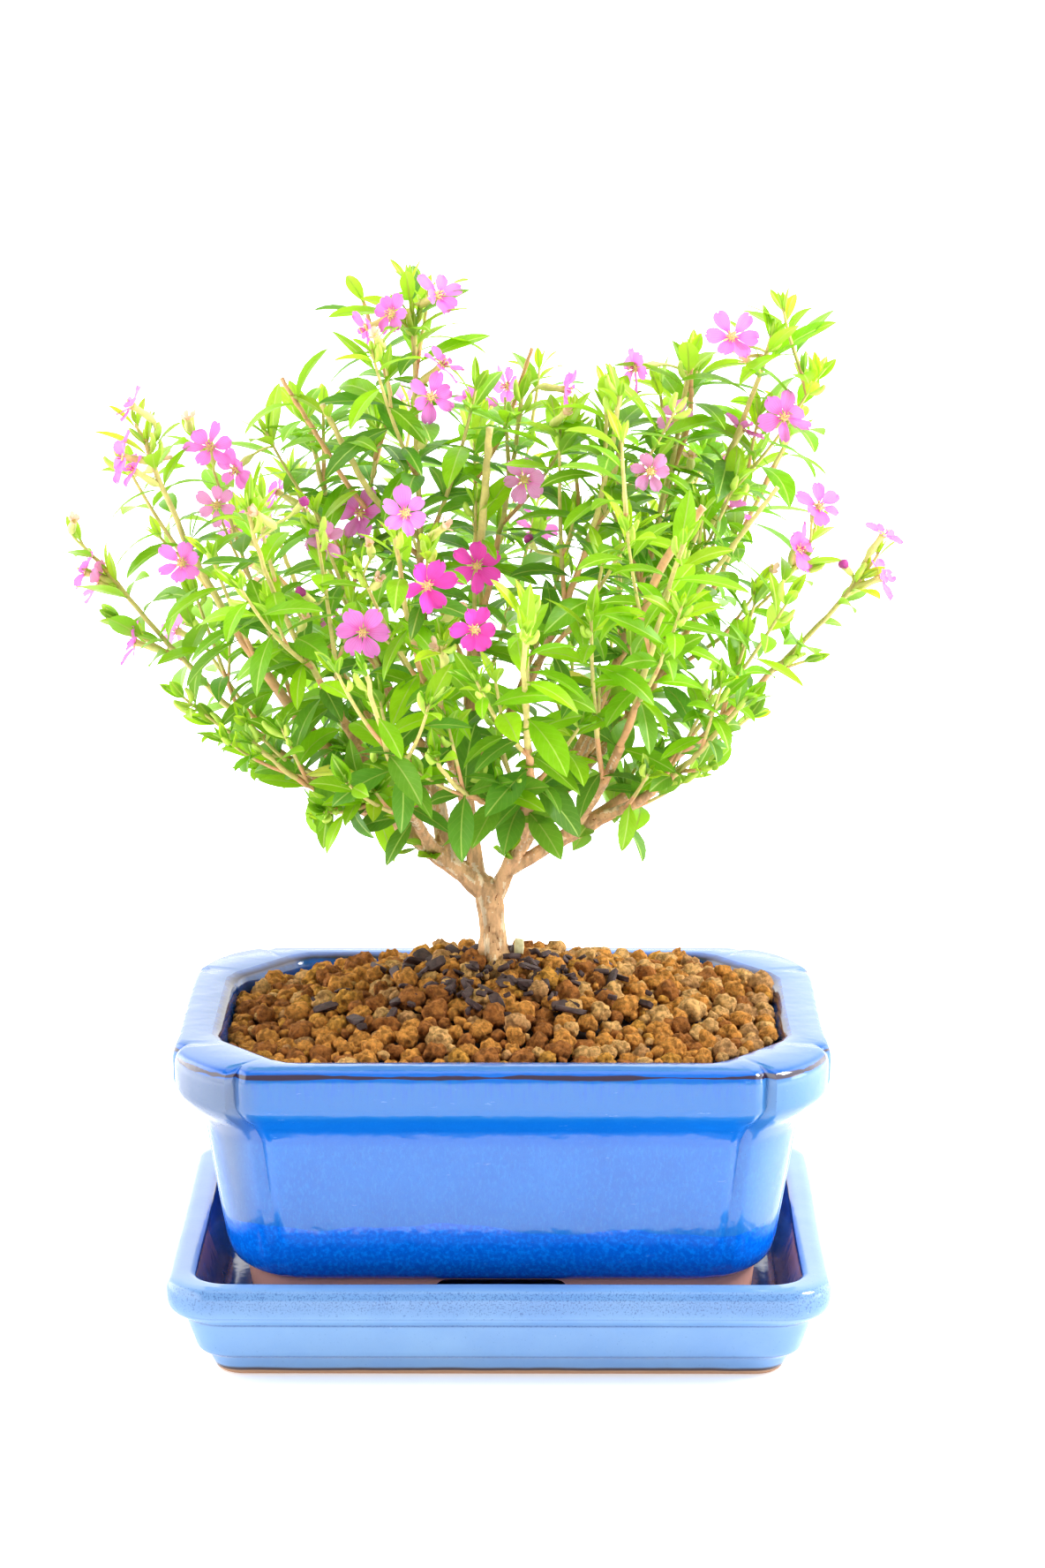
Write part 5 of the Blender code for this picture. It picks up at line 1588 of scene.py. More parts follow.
def add_sprouts(paths, leaves):
    """Tufts of young leaves that grow straight from the wood of the boughs."""
    draw = leaves.draw
    rows = []
    for path in paths.values():
        points, radii = path.stretch(0.0, 0.30, 24)
        rows += [(low, (high - low).normalized(), radius)
                 for low, high, radius in zip(points, points[1:], radii)]
    for pixel in SPROUTS:
        way = photo_ray(pixel)
        spot, tangent, radius = min(rows, key=lambda row: off_ray(way, row[0]))
        outward = (on_ray(way, spot) - spot + Vector((0.0, -1.5, 0.6)) * MM).normalized()
        for _ in range(3):
            aside = rotation(draw(-0.9, 0.9), tangent) @ outward
            leaves.add(spot, tangent, aside, radians(draw(35, 75)), draw(4.5, 8.5) * MM, "young",
                       radius * 1.4, slim=1.2)


def stem_colour(shoot, share, draw_level):
    """0 bark, 1 red, 2 green: older wood is bark, the middle reddish, the tip green."""
    level = share + 0.12 * draw_level
    if shoot.bare:
        return 1 if shoot.order == 3 else 2
    if shoot.order == 0:
        return 0 if level < 0.30 else (1 if level < 0.50 else 2)
    return 1 if level < 0.18 else 2


def twig_shape(shoots, draw):
    """All the shoots as thin tubes, those cut back with a pale cut end."""
    shape = Shape()
    for shoot in shoots:
        sides = 8 if shoot.order == 0 or shoot.bare else 6
        level = draw(-1.0, 1.0)
        points, faces = tube(shoot.points, shoot.radii, sides, ripple=0.06, ripples=4)
        finish = []
        for row in range(len(shoot.points) - 1):
            finish += [stem_colour(shoot, row / (len(shoot.points) - 1), level)] * sides
        finish += [finish[0], 3 if shoot.bare else finish[-1]]
        shape.add(points, faces, finish)
    return shape


def cut_back_shoots(shoots, look, draw):
    """Shoots that were cut back, each grown from the stem nearest to its foot."""
    stems = [point for shoot in shoots if shoot.order < 2 for point in shoot.points[:-2]]
    made = []
    for cut in CUT_SHOOTS:
        top = photo_spot(cut.cut, cut.depth * MM)
        foot = photo_spot(cut.foot, (cut.depth + 3) * MM)
        rise = (top - foot).normalized()
        wanted = foot - rise * CUT_FOOT * MM
        root = min(stems, key=lambda point: (point - wanted).length
                   + 2.0 * max(0.0, (point - foot).dot(rise) + 3.0 * MM))
        leave = (foot - root).normalized()
        bend = foot.lerp(top, 0.20)
        bends, straights = CUT_STEPS
        path = bent_path(root, leave, bend, rise, bends)
        path += [bend.lerp(top, step / straights) for step in range(1, straights + 1)]
        count = len(path) - 1
        radii = []
        for step, point in enumerate(path):
            if bends < step < count:
                path[step] = point + Vector((draw(-1, 1), draw(-1, 1), 0.0)) * 0.16 * MM
            knot = 1.16 if step % 3 == 0 and step > bends else 1.0
            radii.append(cut.radius * look.cut_thickness * MM * (1.25 - 0.3 * step / count) * knot)
        shoot = Shoot(path, radii, 3 if cut.colour == "red" else 4, "cut")
        shoot.bare = cut.bare * MM
        made.append(shoot)
    return made


def flower_shoots(shoots, look):
    """Twigs that rise to the photograph's tips, and to its flowers where no shoot comes near."""
    bases = [point for shoot in shoots if shoot.order < 2 for point in shoot.points[1:]]
    near = [point for shoot in shoots for point in shoot.points]
    made = []
    flowers = [bloom.pixel for bloom in BLOOMS] + [pixel for pixel, _ in BUDS]
    for pixel in list(SHOOT_TIPS) + flowers:
        way = photo_ray(pixel)
        leafy_tip = pixel in SHOOT_TIPS
        if not leafy_tip and min(off_ray(way, point) for point in near) < look.flower_gap:
            continue
        below = (22.0 if leafy_tip else 5.0) * MM
        root = min(bases, key=lambda point: off_ray(way, point) + 1.5 * max(
            0.0, point.z + below - on_ray(way, point).z))
        face = on_ray(way, root)
        rise = (face - root).normalized()
        end = face - (rise + UP).normalized() * (2.0 if leafy_tip else 4.0) * MM
        leave = (rise + UP * 0.2).normalized()
        path = bent_path(root, leave, end, (rise + UP * 0.8).normalized())
        shoot = Shoot(path, [(0.62 - 0.05 * step) * MM for step in range(7)], 2, "flower")
        near += path
        made.append(shoot)
    return made


def photo_ray(pixel):
    """The direction of a pixel of the photograph from the camera."""
    right = (pixel[0] - PHOTO_WIDTH / 2) / PHOTO_FOCAL
    up = (PHOTO_HEIGHT / 2 - pixel[1]) / PHOTO_FOCAL
    return (CAMERA_TURN @ Vector((right, up, -1.0))).normalized()


def on_ray(way, point):
    """The point of a line of sight that lies beside another point."""
    return CAMERA_PLACE + way * (point - CAMERA_PLACE).dot(way)


def off_ray(way, point):
    """How far a point is from a line of sight."""
    away = point - CAMERA_PLACE
    return (away - way * away.dot(way)).length


def photo_spot(pixel, depth):
    """The point that a pixel shows at a depth, in metres along Y."""
    way = photo_ray(pixel)
    return CAMERA_PLACE + way * ((depth - CAMERA_PLACE.y) / way.y)


def soil_spot(pixel):
    """The point of the soil that a pixel shows."""
    near, far = -0.06, 0.06
    for _ in range(24):
        depth = (near + far) / 2
        place = photo_spot(pixel, depth)
        if place.z > soil_height(place.x, place.y):
            near = depth
        else:
            far = depth
    return place


def attach(pixel, facing, reach, nodes, used, look):
    """The seat of a flower whose face shows at a pixel, on the node that carries it best."""
    way = photo_ray(pixel)
    best = None
    for index, node in enumerate(nodes):
        wanted = node.spot + facing * reach
        face = on_ray(way, wanted)
        error = (face - wanted).length + BEARS_ALREADY * used.get(index, 0)
        error += look.front_bias * max(0.0, node.spot.y + 0.03)
        error += FAR_FROM_TIP * max(0.0, node.from_tip - 0.03)
        if best is None or error < best[0]:
            best = (error, index, face)
    used[best[1]] = used.get(best[1], 0) + 1
    return Seat(nodes[best[1]].spot, nodes[best[1]].tangent, best[2], facing)


def bent_path(start, leave, end, arrive, steps=6):
    """Points of a curve that leaves one point and comes to another in given directions."""
    reach = (end - start).length
    ends = (start, start + leave * reach * 0.35, end - arrive * reach * 0.4, end)
    return curve(ends, steps)


PETAL_STATIONS = np.array([0.0, 0.16, 0.34, 0.52, 0.70, 0.86, 0.96, 1.0])
PETAL_WIDTHS = np.array([0.16, 0.30, 0.68, 0.93, 1.0, 0.90, 0.62, 0.26])
PETAL_COLUMNS = 7
PETAL_FACES, PETAL_UV = strip_of(PETAL_STATIONS, PETAL_COLUMNS)


def petal_points(root, way, face_up, length, width, draw):
    """One petal: a narrow claw that widens to a crinkled blade."""
    across = way.cross(face_up).normalized()
    phase = draw(0, 6.28)
    curl = draw(-0.35, 0.35)
    points = []
    for share, breadth in zip(PETAL_STATIONS, PETAL_WIDTHS):
        for column in range(PETAL_COLUMNS):
            side = 2.0 * column / (PETAL_COLUMNS - 1) - 1.0
            crinkle = sin(side * 5.5 + phase + share * 3.0) * 0.055 * share * share
            crinkle += sin(share * 9.0 + phase) * 0.03 * abs(side)
            lift = (crinkle + curl * share * share * 0.3 + 0.06 * side * side) * length
            reach = share * (1.0 + 0.05 * sin(side * 4.0 + phase))
            aside = across * side * breadth * width / 2
            points.append(root + way * reach * length + aside + face_up * lift)
    return points


TINTS = ("orchid", "deep", "pale")
SPENT = len(TINTS)
PETALS = 6
STAMENS = 6
# Length of a tube, and of the shortest stalk that bends below one, in mm
TUBE_LENGTH = 5.0
STALK_LEAST = 7.0
# A flower's tube from its mouth down: distance and radius in mm
TUBE_OPEN = ((0.0, 0.98), (0.8, 0.80), (1.8, 0.72), (3.2, 0.84), (4.6, 1.00), (5.6, 0.98),
             (6.3, 0.62), (6.8, 0.32), (40.0, 0.28))
TUBE_SPENT = ((0.0, 0.86), (0.6, 0.72), (1.8, 0.80), (3.2, 1.02), (4.4, 1.08), (5.4, 0.92),
              (6.0, 0.55), (6.5, 0.32), (40.0, 0.28))
TUBE_BUD = ((0.0, 0.92), (0.8, 0.84), (2.4, 0.80), (3.8, 0.74), (4.6, 0.40), (40.0, 0.28))
GREEN_TUBE = (0.28, 0.40, 0.70, 0.80, 0.72, 0.62, 0.35)     # radii from the shoot outwards


def flower_tube(seat, profile, size):
    """A pedicel that leaves its shoot and the ribbed tube of a flower at its end."""
    spot, tangent, face, facing = seat
    reach = (face - spot).length
    straight = face - facing * TUBE_LENGTH * MM * size
    leave = (tangent * 0.4 + (straight - spot).normalized()).normalized()
    if reach > STALK_LEAST * MM:
        path = bent_path(spot, leave, straight, facing)
        path += [straight.lerp(face, share) for share in (0.2, 0.4, 0.6, 0.8, 1.0)]
    else:
        path = bent_path(spot, leave, face, facing, 9)
    left = path_length(path)
    radii = []
    for low, high in zip(path, path[1:] + path[-1:]):
        radii.append(interpolated(profile, left / MM) * MM * size)
        left -= (high - low).length
    return tube(path, radii, 10, ripple=0.07, ripples=5)


def add_bloom(parts, seat, tint, size, look, draw):
    """A whole flower: pedicel, ribbed calyx tube, six petals, cream eye and stamens."""
    petals, green, eyes = parts
    face, facing = seat.face, seat.facing
    green.add(*flower_tube(seat, TUBE_OPEN, 0.6 + 0.4 * size), 0)
    start = draw(0, 6.28)
    for index in range(PETALS):
        outward = around(facing, start + radians(60) * index + draw(-0.14, 0.14))
        cup = draw(-0.05, 0.45)
        way = (outward * cos(cup) + facing * sin(cup)).normalized()
        face_up = (facing * cos(cup) - outward * sin(cup)).normalized()
        face_up = rotation(draw(-0.5, 0.5), way) @ face_up
        length = look.petal_length * size * draw(0.80, 1.15)
        points = petal_points(face + outward * 0.6 * MM, way, face_up, length,
                              look.petal_width * size * draw(0.80, 1.12), draw)
        petals.add(points, PETAL_FACES, TINTS.index(tint), PETAL_UV)
        sepal = [face + outward * 0.7 * MM + facing * 0.1 * MM,
                 face + outward * 1.5 * MM + facing * 0.35 * MM]
        green.add(*tube(sepal, [0.3 * MM, 0.08 * MM], 4), 0)
    ring = [face + facing * 0.1 * MM, face + facing * 0.5 * MM]
    eyes.add(*tube(ring, [0.95 * MM, 0.70 * MM], 12), 0)
    for index in range(STAMENS):
        outward = around(facing, start + 1.05 * index + 0.5)
        foot = face + facing * 0.3 * MM + outward * 0.35 * MM
        head = foot + facing * draw(0.9, 1.5) * MM + outward * 0.25 * MM
        eyes.add(*tube([foot, head], [0.09 * MM, 0.08 * MM], 4), 1)
        eyes.add(*tube([head, head + facing * 0.3 * MM], [0.17 * MM, 0.13 * MM], 5), 0)


def add_bud(parts, seat, kind, draw):
    """An unopened round bud, or a spent flower with withered petals, on its calyx."""
    petals, green, eyes = parts
    face, facing = seat.face, seat.facing
    green.add(*flower_tube(seat, TUBE_BUD if kind == "bud" else TUBE_SPENT, 1.0), 0)
    if kind == "bud":
        points, faces = unit_lump(2, draw, 0.5)
        size = 2.6 * MM
        eyes.add(turned(points, draw, (size, size, size * 0.9), face + facing * 0.8 * MM), faces, 2)
        return
    for index in range(5):
        outward = around(facing, 1.26 * index + draw(-0.3, 0.3))
        way = (facing + outward * draw(0.1, 0.8)).normalized()
        face_up = (facing - way * facing.dot(way)).normalized()
        root = face - facing * 0.3 * MM + outward * 0.4 * MM
        points = petal_points(root, way, face_up, draw(1.6, 3.0) * MM, 1.4 * MM, draw)
        petals.add(points, PETAL_FACES, SPENT, PETAL_UV)


def mm(name, description, default):
    """A length, given in millimetres."""
    return bpy.props.FloatProperty(
        name=name, description=description, default=default * MM, unit="LENGTH", precision=5)


def ratio(name, description, default):
    return bpy.props.FloatProperty(name=name, description=description, default=default)


def watts(name, description, default):
    return bpy.props.FloatProperty(
        name=name, description=description, default=default, unit="POWER")


def whole(name, description, default):
    return bpy.props.IntProperty(name=name, description=description, default=default)


def hue(name, description, *levels):
    """A colour, given by its screen levels."""
    return bpy.props.FloatVectorProperty(
        name=name, description=description, default=srgb(*levels), subtype="COLOR", size=3,
        min=0.0, max=1.0)


class PotSettings(bpy.types.PropertyGroup):
    """Glaze and clay of the pot and the tray."""

    gloss: ratio("Gloss", "Roughness of the fired glaze", 0.11)
    unevenness: mm("Unevenness", "How far pressed walls swell in and out", 0.35)
    azure: hue("Azure", "Plain glaze", 4, 92, 186)
    azure_light: hue("Light azure", "Thin glaze", 24, 116, 196)
    # Partly painted reflection: the deeper blue stops at a wavy edge painted where the wall's
    # reflection of the floor ends
    cobalt: hue("Cobalt", "Thick glaze low on the pot", 0, 92, 206)
    cobalt_light: hue("Light cobalt", "Specks in the thick glaze", 6, 124, 236)
    wall: hue("Wall", "Glaze of the wall", 4, 96, 184)
    wall_light: hue("Light wall", "Glaze of the wall where it thins", 12, 108, 194)
    rim: hue("Rim", "Glaze on the rim's face", 14, 102, 178)
    # Painted reflections on the corner pillars, grey on the left and paler blue on the right
    pillar_reflection: hue("Pillar", "Milky glaze on the left pillars", 96, 106, 122)
    right_pillar_reflection: hue("Right pillar", "Milky glaze on the right pillars", 70, 122, 172)
    # Painted light: paler where light from above falls on the rim's top
    lit_rim_top: hue("Rim top", "Glaze on top of the rim", 60, 112, 180)
    # Painted shade: darker than the pot's glaze, for the shade inside
    inner: hue("Inside", "Glaze inside the pot", 16, 52, 112)
    brown: hue("Brown", "Where the glaze breaks on an edge", 52, 32, 30)
    speck: hue("Speck", "Dark specks in the glaze", 24, 62, 128)
    scratch: hue("Scratch", "Pale scuffs and pits", 120, 164, 216)
    clay: hue("Clay", "Bare fired clay of the foot", 222, 158, 136)


class TraySettings(bpy.types.PropertyGroup):
    """Glaze of the drip tray, paler than the pot's."""

    gloss: ratio("Gloss", "Roughness of the fired glaze", 0.12)
    unevenness: mm("Unevenness", "How far pressed walls swell in and out", 0.30)
    milk: hue("Milk", "Milky glaze", 114, 154, 196)
    milk_deep: hue("Deep milk", "Milky glaze where it thins", 100, 142, 192)
    azure: hue("Azure", "Glaze on the rim's rounding", 60, 108, 174)
    # Painted shade and painted reflection of the pot: darker than the tray's glaze on the inner walls
    inner: hue("Inside", "Glaze of the inner walls", 22, 62, 134)
    speck: hue("Speck", "Dark specks in the glaze", 48, 80, 132)
    scratch: hue("Scratch", "Pale pits", 150, 178, 214)
    brown: hue("Brown", "Line where the glaze ends", 62, 48, 50)
    clay: hue("Clay", "Bare fired clay of the foot", 180, 138, 106)


class SoilSettings(bpy.types.PropertyGroup):
    """Baked clay grains and bark chips."""

    grains: whole("Grains", "How many grains are tried", 1900)
    grain_small: mm("Smallest", "Radius of the smallest grain", 0.95)
    grain_large: mm("Largest", "Radius of the largest grain", 2.95)
    grain_coarse: mm("Coarse", "Larger grains than this have finer faces", 1.75)
    chips: whole("Chips", "How many bark chips lie on top", 120)
    crowding: ratio("Crowding", "Least distance of grains against their size", 0.93)
    bed_depth: mm("Bed depth", "How far the bed lies below the surface", 2.8)
    orange: hue("Orange", "Orange grains", 230, 156, 72)
    tan: hue("Tan", "Tan grains", 242, 186, 114)
    brown: hue("Brown", "Brown grains", 182, 114, 54)
    grey: hue("Grey", "Grey brown grains", 218, 162, 102)
    ochre: hue("Ochre", "Ochre grains", 226, 160, 66)
    chip: hue("Chip", "Bark chips", 74, 54, 52)
    bed: hue("Bed", "Packed soil in the shade", 30, 18, 12)


class BarkSettings(bpy.types.PropertyGroup):
    """Bark of the trunk and the boughs."""

    voxel: mm("Skin", "Size of the skin's faces", 0.34)
    woody_share: ratio("Woody", "Share of each stem that bears bark", 0.22)
    bark_relief: mm("Relief", "Height of the bark's plates", 0.42)
    thickness: mm("Thickness", "How far the bark stands out from the wood", 0.28)
    plate: hue("Plate", "Bark", 234, 186, 136)
    plate_light: hue("Light plate", "Flaking bark", 250, 222, 182)
    slit: hue("Slit", "Slits between plates", 150, 92, 60)
    upper: hue("Upper", "Bark of the upper boughs", 232, 178, 126)


class FoliageSettings(bpy.types.PropertyGroup):
    """Shoots and leaves."""

    seed: whole("Seed", "Seed of the growth", 41)
    shoot_share: ratio("Shoot share", "Shoot's length against the stem left", 0.60)
    shoot_least: mm("Least shoot", "Added to every shoot's length", 10.0)
    shoot_radius: mm("Shoot radius", "Radius of a side shoot's foot", 0.66)
    lift: ratio("Lift", "How far shoots turn upwards", 0.50)
    twig_gap: mm("Twig gap", "Between one twig and the next", 18.0)
    twig_length: mm("Twig length", "Length of the short twigs", 13.0)
    twig_least: mm("Least twig", "Shoots shorter than this are dropped", 8.0)
    flower_gap: mm("Flower gap", "Flowers further off get a twig", 8.0)
    cut_thickness: ratio("Cut thickness", "Thickness of the shoots cut back", 0.70)
    pair_gap: mm("Pair gap", "Between one pair of leaves and the next", 7.0)
    first_pair: mm("First pair", "From a stem's foot to its first leaves", 2.5)
    leaf_large: mm("Large leaf", "Length of a full leaf", 17.5)
    leaf_small: mm("Small leaf", "Length of a leaf at a tip", 9.5)
    leaf_width: ratio("Leaf width", "Width against length, high in the crown", 0.28)
    leaf_width_low: ratio("Low leaf width", "Width against length, low down", 0.36)
    leaf_slack: mm("Slack", "How far leaves may pass the outline", 4.5)
    skyward: ratio("Skyward", "How far leaves turn to the sky", 0.45)
    missing: ratio("Missing", "Share of leaves that have dropped", 0.12)
    missing_low: ratio("Missing low", "Added share of dropped leaves low down", 0.24)
    axil_tufts: ratio("Tufts", "Share of leaves with a tuft in the axil", 0.08)
    glow: ratio("Glow", "Share of light that shines through a blade", 0.44)
    tip: hue("Tip", "Leaves at the tips", 164, 202, 26)
    young: hue("Young", "Young leaves", 134, 188, 2)
    mid: hue("Middle", "Full leaves", 118, 172, 6)
    # Darker leaves, dealt out more often low down and near the middle of the crown
    cool: hue("Cool", "Old leaves low and inside", 96, 150, 34)
    aged: hue("Aged", "Yellowing leaves", 236, 218, 96)
    under: hue("Underside", "Underside of leaves", 152, 190, 78)
    vein: hue("Vein", "Veins", 204, 224, 104)
    stem_bark: hue("Old stem", "Woody stems", 212, 162, 116)
    stem_red: hue("Red stem", "Ripening stems", 230, 172, 120)
    stem_green: hue("Green stem", "Young stems", 218, 200, 118)
    cut: hue("Cut", "Cut ends of pruned shoots", 230, 206, 160)


class FlowerSettings(bpy.types.PropertyGroup):
    """Flowers, buds and spent flowers."""

    reach: mm("Reach", "From a shoot to a flower's face", 8.5)
    front_bias: ratio("Front bias", "How strongly flowers keep to the front", 0.10)
    petal_length: mm("Petal length", "Length of a petal", 5.1)
    petal_width: mm("Petal width", "Width of a petal", 3.8)
    clear_view: mm("Clear view", "Leaves keep this far from a view of a flower", 3.6)
    spare: whole("Spare flowers", "Flowers on the sides that the photograph hides", 26)
    glow: ratio("Glow", "Share of light that shines through a petal", 0.46)
    orchid: hue("Orchid", "Open flowers", 250, 138, 232)
    deep: hue("Deep", "Flowers in front", 255, 82, 204)
    pale: hue("Pale", "Flowers that fade", 252, 164, 226)
    throat: hue("Throat", "Veins and claws of the petals", 232, 66, 176)
    eye: hue("Eye", "Mouth of the tube", 246, 222, 130)
    calyx: hue("Calyx", "Tubes of open and spent flowers", 226, 222, 128)
    calyx_green: hue("Green calyx", "Tubes that aren't open yet", 196, 226, 84)
    bud: hue("Bud", "Round buds", 176, 50, 136)
    spent: hue("Spent", "Withered tips", 240, 202, 178)


class StageSettings(bpy.types.PropertyGroup):
    """Floor and light."""

    floor: hue("Floor", "Table top", 250, 250, 252)
    floor_near: ratio("Near floor", "Shine of the floor in front", 0.3)
    floor_far: ratio("Far floor", "Shine of the floor at the sides and behind", 1.5)
    sky: ratio("Sky", "Strength of the even light", 0.45)
    backlight: ratio("Backlight", "Added strength of the light behind", 1.5)
    front: ratio("Front", "Strength of the even light behind the camera", 0.40)
    left_panel: ratio("Left panel", "Added strength of the wide panel at the left", 2.7)
    right_panel: ratio("Right panel", "Added strength of the panel at the right", 1.7)
    strip: ratio("Strip", "Added strength of the narrow panel in the right one", 5.0)
    left: watts("Left", "Left soft box", 0.6)
    right: watts("Right", "Right soft box", 12.0)
    top: watts("Top", "Soft box overhead", 2.5)


class BuildTray(bpy.types.Operator):
    """Build the glazed drip tray"""

    bl_idname = "bonsai.build_tray"
    bl_label = "Drip tray"

    def execute(self, context):
        look = context.scene.bonsai_tray
        inside = shaded_inner_glaze("tray_inside", look, 22.6)
        make_piece("drip_tray", tray_shape(look), [tray_finish(look), inside],
                   ("tray",))
        return {"FINISHED"}


class BuildPot(bpy.types.Operator):
    """Build the glazed pot with lobed corners"""

    bl_idname = "bonsai.build_pot"
    bl_label = "Pot"

    def execute(self, context):
        look = context.scene.bonsai_pot
        shape = pot_shape(look)
        inside = shaded_inner_glaze("pot_inside", look, 72.4)
        piece = make_piece("glazed_pot", shape, [pot_finish(look), inside], ("pot",))
        for cutter in pot_cutters():
            cut_out(piece, cutter)
        piece.data.shade_smooth()
        piece.data.set_sharp_from_angle(angle=radians(50))
        return {"FINISHED"}


class BuildSoil(bpy.types.Operator):
    """Fill the pot with clay grains and bark chips"""

    bl_idname = "bonsai.build_soil"
    bl_label = "Soil"

    def execute(self, context):
        look = context.scene.bonsai_soil
        draw = Draw(GRAIN_SEED)
        # Painted shade: the bed is dark so that the gaps between the grains look shaded
        bed = patchy_finish("soil_bed", look.bed, scaled(look.bed, 1.6), 500.0, 0.95)
        make_piece("soil_bed", soil_bed_shape(look), [bed], ("soil",))
        finishes = finish_set(look, GRAIN_KINDS, "grain_", 0.44, 800.0, 0.95,
                              (1300.0, 0.7, 1.0, 0.0007), softness=0.14, Specular_IOR_Level=0.2)
        coarse = [unit_lump(3, draw, 0.75) for _ in range(GRAIN_LUMPS)]
        fine = [unit_lump(2, draw, 0.45) for _ in range(GRAIN_LUMPS)]
        large, small = Shape(), Shape()
        for x, y, size in scatter_spots(look, draw) + self.set_grains():
            big = size > look.grain_coarse
            points, faces = draw.choice(coarse if big else fine)
            height = soil_height(x, y) + draw(-0.85, 0.25) * size + 0.2 * MM
            scale = [2.0 * size * draw(0.85, 1.2) for _ in range(3)]
            lit = smooth_step(x + 0.4 * y, -10.0 * MM, 45.0 * MM)
            # More tan grains and fewer brown ones where the light falls
            weights = (40 - 8 * lit, 12 + 28 * lit, 26 - 14 * lit, 10, 12 - 6 * lit)
            colour = draw.choices(range(len(GRAIN_KINDS)), weights=weights)[0]
            target = large if big else small
            target.add(turned(points, draw, scale, (x, y, height)), faces, colour)
        make_piece("clay_grains_large", large, finishes)
        make_piece("clay_grains_small", small, finishes)
        self.add_chips(look, draw)
        return {"FINISHED"}

    def set_grains(self):
        """The few large grains that stand out in the photograph."""
        made = []
        outline = mouth_outline(SOIL_TOP, SOIL_CLEARANCE)
        for pixel, size in MARKED_GRAINS:
            place = soil_spot(pixel)
            while not inside_outline(place.x, place.y, outline):
                place = place.lerp(TRUNK_FOOT, 0.02)
            made.append((place.x, place.y, size * MM))
        return made

    def add_chips(self, look, draw):
        """Dark slivers, most of them round the trunk."""
        shape = Shape()
        chip = patchy_finish("bark_chip", scaled(look.chip, 0.5), look.chip, 700.0, 0.7,
                             (900.0, 0.5, 0.6, 0.0003), Specular_IOR_Level=0.3)
        pale = patchy_finish("pale_chip", srgb(206, 196, 140), srgb(232, 224, 180), 600.0, 0.8)
        outline = mouth_outline(SOIL_TOP, SOIL_CLEARANCE)
        points, faces = unit_lump(2, draw, 0.1)
        square = np.sign(points) * np.abs(points * 2.0) ** 0.45 * 0.5
        spots = []
        for _ in range(look.chips):
            x = TRUNK_FOOT.x + draw.gauss(0.0, CHIP_SPREAD[0]) * MM
            y = TRUNK_FOOT.y + draw.gauss(-9.0, CHIP_SPREAD[1]) * MM
            if inside_outline(x, y, outline) and hypot(x + 0.002, y - 0.008) > 5.0 * MM:
                spots.append((x, y, draw(1.4, 5.4) * MM))
        for pixel, length in MARKED_CHIPS:
            place = soil_spot(pixel)
            spots.append((place.x, place.y, length * MM))
        for x, y, length in spots:
            size = (length, length * draw(0.35, 0.7), draw(0.7, 1.6) * MM)
            tilt = rotation(draw(0, 6.28), "Z") @ rotation(draw(-0.5, 0.5), "Y")
            tilt = tilt @ rotation(draw(-0.8, 0.8), "X")
            height = soil_height(x, y) + draw(0.9, 2.1) * MM
            shift = Vector((draw(-9, 9), draw(-9, 9), 0.0))
            rough = [1.0 + 0.22 * noise.noise(Vector(p) * 3.0 + shift) for p in square]
            body = square * np.array(size) * np.array(rough)[:, None]
            body = body @ np.array(tilt).T + np.array((x, y, height))
            shape.add(body, faces)
        place = soil_spot((588, 1088))
        place.z = soil_height(place.x, place.y) + 2.8 * MM
        body = square * np.array((2.4 * MM, 1.8 * MM, 5.6 * MM)) + np.array(place)
        shape.add(body, faces, 1)
        make_piece("bark_chips", shape, [chip, pale], sharp=42)


class BuildLimbs(bpy.types.Operator):
    """Build the trunk and the boughs with their bark"""

    bl_idname = "bonsai.build_limbs"
    bl_label = "Trunk and boughs"

    def execute(self, context):
        look = context.scene.bonsai_bark
        paths = trace_limbs()
        mesh = remeshed(bark_core(look, paths), look.voxel)
        mesh.name = "bark"
        for finish in finish_set(look, ("plate", "slit", "plate_light", "upper"), "bark_", 0.60,
                                 520.0, 0.86, (900.0, 0.6, 0.8, 0.0005), softness=0.14,
                                 stretch=(1.0, 1.0, 0.28), Specular_IOR_Level=0.2):
            mesh.materials.append(finish)
        carve_bark(mesh, paths, look)
        mesh.shade_smooth()
        ride(mesh, ["trunk"] + ["bough_" + limb.name for limb in LIMBS])
        return {"FINISHED"}


# The plant, once it is grown for the first operator that needs it
GROWN = {}


def place_blooms(nodes, look):
    """The flowers and buds of the photograph, each with the node that carries it."""
    used = {}
    blooms, buds = [], []
    draw = Draw(BUD_SEED)
    for bloom in BLOOMS:
        facing = direction(*bloom.facing)
        blooms.append((attach(bloom.pixel, facing, look.reach, nodes, used, look), bloom))
    for pixel, kind in BUDS:
        facing = direction(draw(-150, -30), 35)
        buds.append((attach(pixel, facing, 0.8 * look.reach, nodes, used, look), kind))
    return blooms, buds


def plant(scene):
    """The plant's shoots, flowers' places and leaves, grown once."""
    if not GROWN:
        look = scene.bonsai_foliage
        shoots = grow_shoots(look, trace_limbs())
        draw = Draw(look.seed + 500)
        shoots += cut_back_shoots(shoots, look, draw)
        shoots += flower_shoots([shoot for shoot in shoots if not shoot.bare], look)
        found = [stations(shoot, look, draw) for shoot in shoots]
        nodes = [station for shoot, rows in zip(shoots, found) if not shoot.bare
                 for station in rows]
        blooms, buds = place_blooms(nodes, scene.bonsai_flowers)
        leaves = Leaves(look, blooms, scene.bonsai_flowers.clear_view, draw)
        for shoot, rows in zip(shoots, found):
            leafy(shoot, rows, leaves)
        add_sprouts(trace_limbs(), leaves)
        GROWN.update(shoots=shoots, blades=leaves.blades, nodes=nodes, blooms=blooms, buds=buds)
    return GROWN


